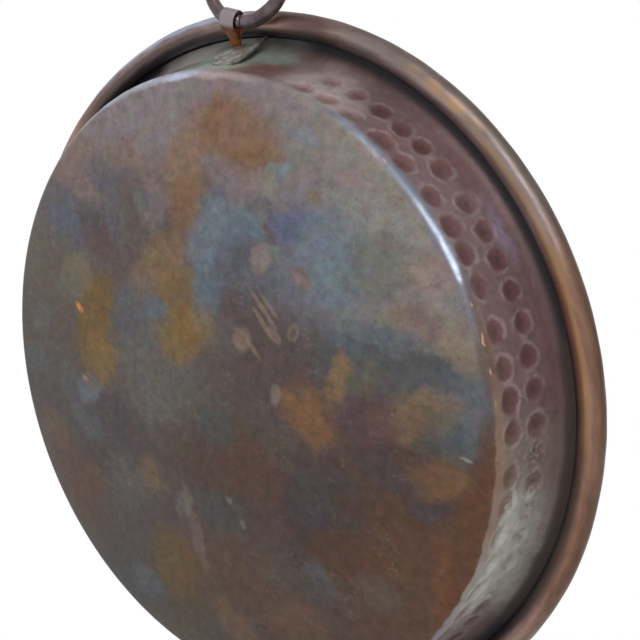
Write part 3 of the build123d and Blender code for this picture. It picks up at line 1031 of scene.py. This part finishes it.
# Tarnish multiplies the wall's colour, more in some dishes than in others
tarnish = add(tree, "Mix", {"data_type": "RGBA"},
              {0: shade.outputs["Fac"], COLOUR_A: hex_colour("d8bab8"),
               COLOUR_B: hex_colour("ecd8d5")})
wine = add(tree, "Mix", {"data_type": "RGBA", "blend_type": "MULTIPLY"},
           {0: 1.0, COLOUR_A: wall_ground, COLOUR_B: tarnish.outputs[MIXED]})
wall_colour = lay_film(tree, wall_ground, wine.outputs[MIXED], uneven.outputs["Value"],
                       *DISH_EDGE, least=1.0, most=0.0)
# In the middle of some dishes the tarnish is nearly black
darkest = add(tree, "TexNoise", links={"Vector": place, "Scale": 1 / 1.5, "Detail": 3.0})
in_middle = add(tree, "Math", {"operation": "SUBTRACT"},
                {0: darkest.outputs["Fac"], 1: dish.outputs["Fac"]})
wall_colour = lay_film(tree, wall_colour, hex_colour("3f3236"), in_middle.outputs["Value"],
                       0.0, 0.5, most=0.45)
# Above the marks the wall turns to the light less, so painted light makes it lighter there
wiped = add(tree, "MapRange", {"interpolation_type": "SMOOTHSTEP"},
            {"Value": split.outputs["Z"], "From Min": PAINTED_LIGHT_FROM_TO[0],
             "From Max": PAINTED_LIGHT_FROM_TO[1]})
painted_light_wall = add(tree, "Mix", {"data_type": "RGBA", "blend_type": "MULTIPLY"},
              {0: wiped.outputs["Result"], COLOUR_A: wall_colour,
               COLOUR_B: (1.36, 1.28, 1.30, 1.0)})
# The pale outline of each dish, partly rubbed and partly painted highlight, broken by a noise
rubbing = add(tree, "TexNoise", links={"Vector": place, "Scale": 1 / 2.2, "Detail": 3.0})
rubbed = add(tree, "MapRange", {"interpolation_type": "SMOOTHSTEP"},
             {"Value": rubbing.outputs["Fac"], "From Min": 0.38, "From Max": 0.6})
wall_colour = lay_line(tree, painted_light_wall.outputs[MIXED], hex_colour("9c8c8b"),
                       uneven.outputs["Value"], OUTLINE, OUTLINE_HALF_WIDTHS, OUTLINE_COVER,
                       rubbed.outputs["Result"])
print("a dish's outline is rubbed", OUTLINE, "half sizes from its middle")

# %% [markdown]
# A crust of verdigris and dried salts lies by the leaf, where flux was left, on the far
# side, where drips ran, and a little between the two. The blots give its thickness here,
# not a colour, and a noise eats holes in it where it is thin.

# %% Outside: crust on the wall
PATINA["crusted"] = "ffffff"
CRUST_HOLES = (0.74, 1.05)
crusted = lay_blots(tree, place, hex_colour("000000"), [
    on_ring(52, turn_deg, z, (20, half_wide, half_high), "crusted", cover, 0.8)
    for turn_deg, z, half_wide, half_high, cover in (
        (181, 4.6, 5, 4.2, 1.0), (191, 4.6, 6, 6, 1.3), (171, 6.6, 3, 2.4, 0.6),
        (86, 4, 6, 4.5, 0.6), (110, 4.6, 5, 4, 0.6), (155, 2, 2, 2, 0.4), (240, 4, 12, 4, 0.7))])
crust_noise = add(tree, "TexNoise", links={"Vector": place, "Scale": 1 / 1.5, "Detail": 7.0,
                                           "Roughness": 0.65, "Distortion": 0.8})
crust = add(tree, "Math", {"operation": "MULTIPLY_ADD"},
            {0: crusted, 1: 0.5, 2: crust_noise.outputs["Fac"]})
wall_colour = lay_film(tree, wall_colour, hex_colour("b4b6ae"), crust.outputs["Value"],
                       *CRUST_HOLES, most=0.75)
wall_colour = shade_by(tree, wall_colour, cloudy.outputs["Fac"], MOST_NOISE, WALL_SHADES)
print("wall has", len(tree.nodes), "nodes")

# %% [markdown]
# ## The corner and the groove
# Going out from the axis, the base ends at the planished corner, then comes the wall, and
# then the groove under the rim, which is painted nearly black as its shade. Three films
# with the distance from the axis as their measure put one over the other.

# %% Outside: from base to wall to groove
PATINA.update({"corner highlight blue": "9ea2b4", "corner highlight grey": "7b7f8a", "corner tan": "7a6256"})
# The pale blue blots at 70 and 86 degrees and the grey ones from 120 to 141 degrees are painted
# highlight on the corner
CORNER_BLOTS = [on_ring(49.7, turn_deg, 0.5, (20, half_wide, 9), colour, cover, 0.6)
                for turn_deg, half_wide, colour, cover in (
                    (86, 3.5, "corner highlight blue", 0.7), (70, 8, "corner highlight blue", 0.6),
                    (97, 5, "pink dust", 0.9), (109, 4, "dust", 0.8),
                    (120, 3.5, "corner highlight grey", 0.9), (131, 4, "blue grey", 0.9),
                    (141, 4, "corner highlight grey", 0.8),
                    (160, 10, "corner tan", 1.0), (178, 8, "tan", 0.6), (192, 6, "dust", 0.9))]
CORNER_FROM_TO, WALL_FROM_TO, GROOVE_FROM_TO = (49.8, 50.1), (50.5, 50.9), (54.4, 56.2)

step_noise = add(tree, "TexNoise", links={"Vector": place, "Scale": 1 / 2.4, "Detail": 5.0})
out_uneven = add(tree, "Math", {"operation": "MULTIPLY_ADD"},
                 {0: step_noise.outputs["Fac"], 1: 0.8, 2: out})
corner_colour = lay_blots(tree, ragged(tree, place, 2.0, 3.0), hex_colour("726870"), CORNER_BLOTS)
corner_colour = shade_by(tree, corner_colour, cloudy.outputs["Fac"], MOST_NOISE, WALL_SHADES)
colour = base_colour
# The last film, the groove's 2f2d31, is painted shade, nearly black
for (start, end), way_out, next_colour in (
        (CORNER_FROM_TO, out_uneven.outputs["Value"], corner_colour),
        (WALL_FROM_TO, out_uneven.outputs["Value"], wall_colour),
        (GROOVE_FROM_TO, out, hex_colour("2f2d31"))):
    colour = lay_film(tree, colour, next_colour, way_out, start, end)
print("the groove is black from", GROOVE_FROM_TO[1], "mm out")

# %% [markdown]
# Beside the leaf the groove is painted lighter: its green is partly verdigris and partly
# painted light, and its pale grey is painted light against the groove's shade. Brown
# grease lies on the far side. The edge of the base carries a painted highlight by the
# leaf, and is dark and pink in turn beyond it.

# %% Outside: painted light in the groove, its grease, and the base's edge
PATINA.update({"groove verdigris and light": "8d918d", "painted groove light": "c9c6c3", "groove brown": "4a3d37",
               "edge highlight white": "c3cae0", "edge highlight grey": "a3a5b2", "edge pink": "b3a0a1",
               "edge slate": "6e727e"})
colour = lay_blots(tree, ragged(tree, place, 2.0, 2.0), colour, [
    on_ring(55.2, turn_deg, 10, (1.9, 3.4, 3.4), tint, cover, 0.6)
    for turn_deg, tint, cover in (
        (73, "painted groove light", 0.6), (78, "painted groove light", 0.85), (83, "painted groove light", 0.75),
        (87, "groove verdigris and light", 0.9), (91, "painted groove light", 0.5), (97, "groove verdigris and light", 0.45))])
colour = lay_blots(tree, place, colour, [
    on_ring(56.0, turn_deg, 10.7, (0.9, 4.5, 1.2), "groove brown", 0.7, 0.5)
    for turn_deg in range(162, 202, 7)])
# The blue-white and grey blots on the base's edge, from 69 to 84 degrees, are painted highlight
colour = lay_blots(tree, ragged(tree, place, 1.4, 1.2), colour, [
    on_ring(49.35, turn_deg, 0, (half_out, half_along, 9), tint, cover, 0.6)
    for turn_deg, half_out, half_along, tint, cover in (
        (84, 0.45, 3.4, "edge highlight white", 0.85), (77, 0.5, 4, "edge highlight grey", 0.8),
        (69, 0.4, 5, "edge highlight grey", 0.5), (91, 0.5, 3, "edge pink", 0.7),
        (97, 0.4, 4, "edge pink", 0.4), (133, 0.5, 3.5, "edge slate", 0.5),
        (140, 0.6, 3, "edge slate", 0.7), (149, 0.7, 4, "edge slate", 0.6),
        (158, 0.6, 4, "umber", 0.5))])
print("groove and edge bring the nodes to", len(tree.nodes))

# %% [markdown]
# A bright line of painted highlight runs along the corner, in some places only. As with
# the crust, white blots on black say where. In a few spots, bare copper shows.

# %% Outside: the painted highlight on the corner
# The white blots mark where the corner's painted highlight lies
PATINA["rubbed"] = "ffffff"
CORNER_HIGHLIGHT_LINE, CORNER_HIGHLIGHT_HALF_WIDTHS = 49.72, (0.05, 0.5)
highlight_cover = lay_blots(tree, ragged(tree, place, 1.2, 2.5), hex_colour("000000"), [
    on_ring(49.7, turn_deg, 0.5, (20, half_wide, 9), "rubbed", cover, 0.5)
    for turn_deg, half_wide, cover in (
        (144.9, 1.3, 1.0), (142.2, 2.0, 0.7), (138, 3.0, 0.4), (123, 2.4, 0.3), (86, 3, 0.3),
        (72, 6, 0.4), (60, 4, 0.4), (260, 12, 0.5), (330, 16, 0.5))])
highlight_breaks = add(tree, "MapRange", {"interpolation_type": "SMOOTHSTEP"},
              {"Value": step_noise.outputs["Fac"], "From Min": 0.42, "From Max": 0.56,
               "To Min": 0.25})
highlight_cover = add(tree, "Math", {"operation": "MULTIPLY"}, {0: highlight_cover, 1: highlight_breaks.outputs["Result"]})
colour = lay_line(tree, colour, hex_colour("c2cee2"), out, CORNER_HIGHLIGHT_LINE, CORNER_HIGHLIGHT_HALF_WIDTHS,
                  1.0, highlight_cover.outputs["Value"])
colour = lay_blots(tree, ragged(tree, place, 0.8, 0.5), colour, [
    on_ring(49.8, turn_deg, 0.4, (half_out, half_along, 9), tint, cover, 0.5)
    for turn_deg, half_out, half_along, tint, cover in (
        (152, 0.3, 7, "umber", 0.5), (154.2, 0.12, 0.6, "pink copper", 0.7),
        (154.9, 0.1, 0.35, "pink copper", 0.7), (158.7, 0.1, 0.35, "pink copper", 0.6),
        (149.6, 0.08, 0.3, "pink copper", 0.5), (163, 0.08, 0.4, "pink copper", 0.4),
        (126.7, 0.08, 0.3, "pink copper", 0.5))])
print("the bright line is", CORNER_HIGHLIGHT_LINE, "mm from the axis")

# %% [markdown]
# Grains of dirt come last, and then the shine. Oxide isn't metal, but so thin a film lets
# the copper show through, so the surface is about half metallic. Its roughness follows
# the finer of the two tints, and a low bump stands for the hammer's texture.

# %% Outside: dirt and shine
GRAIN, BUMPS_APART = 0.6, 0.5      # millimetres, coarser than real ones, so that they show
grit = add(tree, "TexNoise", links={"Vector": place, "Scale": 1 / GRAIN, "Detail": 2.0})
colour = lay_film(tree, colour, hex_colour("3a3232"), grit.outputs["Fac"], 0.68, 0.78, most=0.5)
rough = add(tree, "TexNoise", links={"Vector": place, "Scale": 1 / BUMPS_APART, "Detail": 3.0})
finish_surface(tree, shader, colour, 0.55, mottle.outputs["Fac"], (0.36, 0.5),
               rough.outputs["Fac"], 0.25, 0.05)
shader.inputs["Specular IOR Level"].default_value = 0.3
bowl.data.materials.append(outside)
print("outside has", len(tree.nodes), "nodes")

# %% [markdown]
# ## The rolled rim
# Handling rubs the rim, so it is the barest copper of the outside: brown with a
# pinkish grey film, glossier than the rest, and in one place worn to bright metal.
# Wear runs along a rolled edge, so the pattern is stretched that way. Its coordinates
# are x and y, squeezed, and the height and distance from the axis, left as they are.

# %% Rolled rim: its film
ALONG_RIM = 7.0    # a mark on the rim is about this many times longer than it is wide
INNERMOST, OUTERMOST = 57.2, 60.0
# The film by distance from the axis: greyest and palest under the roll, as painted light against
# the shade there, and darkest red-brown outside, as a painted dark reflection
FILM = ((57.9, "ae9890"), (58.3, "a38d87"), (58.7, "907d77"), (59.1, "84746d"),
        (59.45, "7a6860"), (59.8, "64524c"))

rim, tree, shader, place = new_material("rubbed rolled copper")
split = add(tree, "SeparateXYZ", links={"Vector": place})
flat = add(tree, "VectorMath", {"operation": "MULTIPLY"}, {0: place, 1: (1, 1, 0)})
out = add(tree, "VectorMath", {"operation": "LENGTH"}, {0: flat.outputs["Vector"]})
squeezed = add(tree, "VectorMath", {"operation": "SCALE"},
               {0: flat.outputs["Vector"], "Scale": 1 / ALONG_RIM})
round_roll = add(tree, "Math", {"operation": "SUBTRACT"},
                 {0: out.outputs["Value"], 1: split.outputs["Z"]})
lift = add(tree, "CombineXYZ", links={"X": round_roll.outputs["Value"],
                                      "Z": split.outputs["Z"]})
along = add(tree, "VectorMath", {"operation": "ADD"},
            {0: squeezed.outputs["Vector"], 1: lift.outputs["Vector"]})
streak = add(tree, "TexNoise", links={"Vector": along.outputs["Vector"], "Scale": 1.4,
                                      "Detail": 5.0, "Roughness": 0.65})
across_roll = add(tree, "MapRange", links={"Value": out.outputs["Value"],
                                           "From Min": INNERMOST, "From Max": OUTERMOST})
film = add(tree, "ValToRGB", links={"Fac": across_roll.outputs["Result"]})
tones = film.color_ramp.elements
# The innermost tone is painted light, and the outermost a painted dark reflection
tones[0].color = hex_colour("b09c96")
tones[1].color = hex_colour("5e4c47")
for at, code in FILM:
    tones.new((at - INNERMOST) / (OUTERMOST - INNERMOST)).color = hex_colour(code)
print("the film has", len(tones), "tones across the roll")

# %% [markdown]
# Over the film go tints by bearing, which multiply it, and streaks, then bright wear on
# the underside of the roll, a painted highlight on its outer edge, an ochre film, and
# painted shade on the side that faces the groove.

# %% Rolled rim: wear, painted highlight and painted shade
PATINA.update({"clean": "ffffff", "worn gold": "b58f66", "old gold": "a08260",
               "rim highlight blue": "9ca5ba", "painted roll shade": "574b47", "ochre film": "97754f",
               "brown tint": "dcbfa8", "deep brown tint": "c8a68e", "grey tint": "dae0e6",
               "plum tint": "ac989c", "cold tint": "c8cdd8"})
STREAK_SHADES = (0.72, 1.28)
rim_tint = lay_blots(tree, ragged(tree, place, 2.0, 3.0), hex_colour("f0e2da"), [
    on_ring(59, turn_deg, 9.4, (20, half_along, 20), colour, cover, 0.6)
    for turn_deg, half_along, colour, cover in (
        (156, 9, "brown tint", 0.9), (170, 8, "brown tint", 0.8),
        (186, 10, "deep brown tint", 0.9), (112, 7, "grey tint", 1.0), (124, 7, "grey tint", 1.0),
        (137, 8, "grey tint", 1.0),
        (101, 4.5, "plum tint", 0.95), (70, 16, "cold tint", 0.8), (52, 5, "plum tint", 0.4),
        (20, 9, "brown tint", 0.9), (-60, 14, "deep brown tint", 0.8), (-20, 8, "clean", 0.6),
        (230, 9, "grey tint", 0.7), (260, 8, "brown tint", 0.8))])
tinted = add(tree, "Mix", {"data_type": "RGBA", "blend_type": "MULTIPLY"},
             {0: 1.0, COLOUR_A: film.outputs["Color"], COLOUR_B: rim_tint})
streaked = shade_by(tree, tinted.outputs[MIXED], streak.outputs["Fac"], MOST_NOISE, STREAK_SHADES)
# The old gold blot at 93 degrees is a painted reflection of the orange strap
bright_wear = [on_ring(58.4, turn_deg, 8.1, (0.7, half_along, 0.8), colour, cover, 0.5)
               for turn_deg, half_along, colour, cover in (
                   (119, 1.4, "old gold", 0.3), (122.5, 1.6, "worn gold", 0.5),
                   (126, 1.8, "worn gold", 0.6), (129.5, 1.4, "old gold", 0.35),
                   (149, 2.0, "old gold", 0.4), (93, 1.6, "old gold", 0.5),
                   (17, 2, "old gold", 0.6), (-48, 2.4, "old gold", 0.6),
                   (240, 2, "old gold", 0.6))]
rim_highlights = [on_ring(59.1, turn_deg, 8.35, (0.5, 3.6, 0.9), "rim highlight blue", cover, 0.5)
         for turn_deg, cover in ((58, 0.5), (64, 0.7), (70, 0.8), (76, 0.85), (82, 0.9),
                                 (87, 0.7))]
ochre = [on_ring(57.9, turn_deg, 8.3, (0.45, 3.4, 0.8), "ochre film", 0.65, 0.5)
         for turn_deg in range(134, 176, 6)]
painted_shade_blots = [on_ring(57.5, turn_deg, 8.5, (0.6, 4.0, 1.3), "painted roll shade", cover, 0.5)
             for turn_deg, cover in ((48, 0.6), (54, 0.9), (60, 0.9), (66, 0.9), (72, 0.9),
                                     (78, 0.9), (84, 0.6), (104, 0.7), (110, 0.7), (116, 0.3),
                                     (174, 0.5), (179, 0.6), (184, 0.6), (189, 0.6),
                                     (194, 0.6), (199, 0.6))]
rim_colour = lay_blots(tree, ragged(tree, place, 1.2, 0.5), streaked,
                       bright_wear + rim_highlights + ochre + painted_shade_blots)
print("wear brings the rim's nodes to", len(tree.nodes))

# %% [markdown]
# Painted shade darkens the roll where it meets the groove: near the axis and low on the
# brim. Each side is one soft edge, and the two are multiplied, so the painted shade lies
# only where both say so.

# %% Rolled rim: painted shade and shine
CREASE_SHADE_OUT, CREASE_SHADE_UP = (56.7, 57.5), (10.8, 11.3)     # millimetres out, and above the table
beside_groove = add(tree, "MapRange", {"interpolation_type": "SMOOTHSTEP"},
                    {"Value": out.outputs["Value"], "From Min": CREASE_SHADE_OUT[0],
                     "From Max": CREASE_SHADE_OUT[1], "To Min": 1.0, "To Max": 0.0})
low = add(tree, "MapRange", {"interpolation_type": "SMOOTHSTEP"},
          {"Value": split.outputs["Z"], "From Min": CREASE_SHADE_UP[0], "From Max": CREASE_SHADE_UP[1],
           "To Min": 1.0, "To Max": 0.0})
painted_shade = add(tree, "Math", {"operation": "MULTIPLY"},
           {0: beside_groove.outputs["Result"], 1: low.outputs["Result"]})
crease_shaded_colour = add(tree, "Mix", {"data_type": "RGBA"},
            {0: painted_shade.outputs["Value"], COLOUR_A: rim_colour, COLOUR_B: hex_colour("38363a")})
nicks = add(tree, "TexNoise", links={"Vector": place, "Scale": 1 / 1.2, "Detail": 4.0})
finish_surface(tree, shader, crease_shaded_colour.outputs[MIXED], 0.8, streak.outputs["Fac"], (0.48, 0.34),
               nicks.outputs["Fac"], 0.3, 0.08)
bowl.data.materials.append(rim)
print("rim has", len(tree.nodes), "nodes")

# %% [markdown]
# ## The inside of the bowl
# The picture doesn't show the inside, so it is a guess. Food and cloths keep it plainer
# than the outside: brown copper, lighter where the hammer's bumps stand proud. Scratches
# from wiping go round, so their noise reads only the distance from the axis.

# %% Inside
BROWNS = ((0.3, "5f4036"), (0.72, "b07e5e"), (0.44, "7e5542"), (0.56, "96684e"))
WIPE = 0.25        # millimetres between scratches, coarser than real ones, so they show

inside, tree, shader, place = new_material("worn brown copper")
flat = add(tree, "VectorMath", {"operation": "MULTIPLY"}, {0: place, 1: (1, 1, 0)})
out = add(tree, "VectorMath", {"operation": "LENGTH"}, {0: flat.outputs["Vector"]})
cloud = add(tree, "TexNoise", links={"Vector": place, "Scale": 1 / 11.0, "Detail": 6.0,
                                     "Roughness": 0.62, "Distortion": 0.6})
brown = add(tree, "ValToRGB", links={"Fac": cloud.outputs["Fac"]})
tones = brown.color_ramp.elements
for tone, (at, code) in zip((tones[0], tones[1]), BROWNS[:2]):
    tone.position, tone.color = at, hex_colour(code)
for at, code in BROWNS[2:]:
    tones.new(at).color = hex_colour(code)
dish = add(tree, "Attribute", {"attribute_name": "mark_distance"})
rubbed = lay_film(tree, brown.outputs["Color"], hex_colour("bd8d6c"), dish.outputs["Fac"],
                  0.2, 1.1, least=0.55, most=0.0)
film = add(tree, "TexNoise", links={"Vector": place, "Scale": 1 / 4.0, "Detail": 4.0})
tarnished = lay_film(tree, rubbed, hex_colour("6b5350"), film.outputs["Fac"], 0.52, 0.72,
                     most=0.6)
only_out = add(tree, "CombineXYZ", links={"X": out.outputs["Value"]})
wiped = add(tree, "TexNoise", links={"Vector": only_out.outputs["Vector"],
                                     "Scale": 1 / WIPE, "Detail": 3.0})
finish_surface(tree, shader, tarnished, 0.85, cloud.outputs["Fac"], (0.44, 0.28),
               wiped.outputs["Fac"], 0.12, 0.03)
bowl.data.materials.append(inside)
print("inside has", len(tree.nodes), "nodes")

# %% [markdown]
# Which face gets which material: the roll by its distance from the axis, and the two
# sides of the sheet by the way that they face.

# %% Faces of the bowl
ROLL_FROM = 56.5           # millimetres from the axis
OUTSIDE, ROLL, INSIDE = 0, 1, 2
faces = bowl.data.polygons
middles, normals = np.empty(len(faces) * 3), np.empty(len(faces) * 3)
faces.foreach_get("center", middles)
faces.foreach_get("normal", normals)
middles, normals = middles.reshape(-1, 3) / MM, normals.reshape(-1, 3)
face_out = np.hypot(middles[:, 0], middles[:, 1])
facing_out = (middles[:, :2] * normals[:, :2]).sum(axis=1) / face_out
on_slope = (face_out > corner_centre.x) & (face_out < WALL_TOP_RADIUS)
upper = np.where(on_slope, facing_out < 0, normals[:, 2] > 0)
kinds = np.where(face_out > ROLL_FROM, ROLL, np.where(upper, INSIDE, OUTSIDE))
faces.foreach_set("material_index", kinds.astype(np.int32))
print("faces outside, on the roll and inside:", np.bincount(kinds).tolist())

# %% [markdown]
# ## The small parts
# Five finishes share one recipe: a noise picks the tone of the film, and the same noise
# makes the paler flecks glossier and raises them a little. So they are one loop over a
# table, and each line of the table says what the finish looks like.

# %% Finishes of the small parts
# Each: dark, middle and light colour of its film, size of its flecks in mm, how metallic,
# least and most roughness, depth of its bumps in mm
SMALL_FINISHES = {
    # The ring: dark with a brown-grey film, pale where its flats are rubbed
    "tarnished copper wire": (("4a3e40", "5f5153", "776b70"), 2.0, 0.8, 0.26, 0.4, 0.025),
    # The strap: the youngest copper, still orange on its legs
    "bare copper strip": (("8a5433", "ad6b3f", "c98a5c"), 1.1, 0.85, 0.28, 0.4, 0.02),
    # The leaf: matt and crusted grey-green, because soldering flux was left on it
    "verdigris on beaten copper": (("55534d", "7b7b73", "a3a198"), 1.0, 0.3, 0.45, 0.7, 0.06),
    # The solder: dull grey and lumpy
    "dull soft solder": (("4b4d4b", "787d78", "9a9f97"), 0.7, 0.3, 0.5, 0.75, 0.12),
    # The wire in the rim: iron, seen only through the slit of the roll
    "blackened iron wire": (("26211e", "3b302a", "5a4438"), 1.0, 0.5, 0.55, 0.7, 0.05),
}
FILM_AT = (0.32, 0.68, 0.5)        # where on the noise the dark, light and middle tones are
finishes, tone_of = {}, {}
for name, (film, fleck, metallic, glossiest, dullest, depth) in SMALL_FINISHES.items():
    material, tree, shader, place = new_material(name)
    flecks = add(tree, "TexNoise", links={"Vector": place, "Scale": 1 / fleck,
                                          "Detail": 5.0, "Roughness": 0.62})
    ramp = add(tree, "ValToRGB", links={"Fac": flecks.outputs["Fac"]})
    tones = ramp.color_ramp.elements
    tones[0].position, tones[1].position = FILM_AT[:2]
    tones[0].color = hex_colour(film[0])
    tones[1].color = hex_colour(film[2])
    tones.new(FILM_AT[2]).color = hex_colour(film[1])
    finish_surface(tree, shader, ramp.outputs["Color"], metallic, flecks.outputs["Fac"],
                   (dullest, glossiest), flecks.outputs["Fac"], 0.5, depth)
    finishes[name], tone_of[name] = material, (tree, shader, place, ramp.outputs["Color"])
for piece, name in ((ring, "tarnished copper wire"), (strap, "bare copper strip"),
                    (leaf, "verdigris on beaten copper"), (solder, "dull soft solder")):
    piece.data.materials.append(finishes[name])
bpy.data.objects["rim_wire"].material_slots[0].material = finishes["blackened iron wire"]
print(len(finishes), "small finishes")

# %% [markdown]
# The strap's fold has the ring's grey film, because the two rub on each other and stay
# damp, and only the tongue shows orange. The leaf's cut edge is darkened with painted
# shade below its pale crusted front. So one more film is laid over each, by the way along
# the tongue and by the depth behind the leaf's front.

# %% Film on the fold, and painted shade on the leaf's edge
FOLD_FROM_TO = (-0.1, 0.6)         # millimetres from the eye towards the leaf
SHADED_EDGE_FROM_TO = (-0.4, -0.24)       # millimetres from the leaf's front, outwards
tongue_way = (eye @ turned(180, "Z") @ turned(TONGUE_RISE, "X")).to_3x3() @ Vector((0, 1, 0))
eye_at = tongue_way.dot(Vector((0, EYE_OUT, EYE_HEIGHT)))
leaf_way = Vector((0, math.sin(pitch), -math.cos(pitch)))
front_at = leaf_way.dot(Vector(LEAF_MIDDLE))
# The leaf's dark edge, 443c3a, is painted shade below its front
for name, way, start_at, (start, end), code in (
        ("bare copper strip", tongue_way, eye_at, FOLD_FROM_TO, "8b858f"),
        ("verdigris on beaten copper", leaf_way, front_at, SHADED_EDGE_FROM_TO, "443c3a")):
    tree, shader, place, tone = tone_of[name]
    along_way = add(tree, "VectorMath", {"operation": "DOT_PRODUCT"}, {0: place, 1: way})
    filmed = lay_film(tree, tone, hex_colour(code), along_way.outputs["Value"],
                      start_at + start, start_at + end, least=0.9, most=0.0)
    tree.links.new(filmed, shader.inputs["Base Color"])
print("the leaf's front is", round(front_at, 1), "mm out along its own normal")

# %% [markdown]
# ## Who carries what
# Everything soldered to the bowl moves with it, and only the ring swings. Each piece
# stands for the CAD node of the same part.

# %% Bodies, replaced nodes and finishes
for piece, node, body, finish in ((bowl, "bowl_shell", "bowl", "hammered_copper"),
                                  (strap, "ring_strap", "bowl", "bare_copper"),
                                  (leaf, "hanger_leaf", "bowl", "verdigris_copper"),
                                  (solder, "leaf_solder", "bowl", "soft_solder"),
                                  (ring, "hanging_ring", "ring", "tarnished_ring")):
    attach(piece, body)
    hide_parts(node)
print("five pieces, and the rim's wire stays the CAD's own")
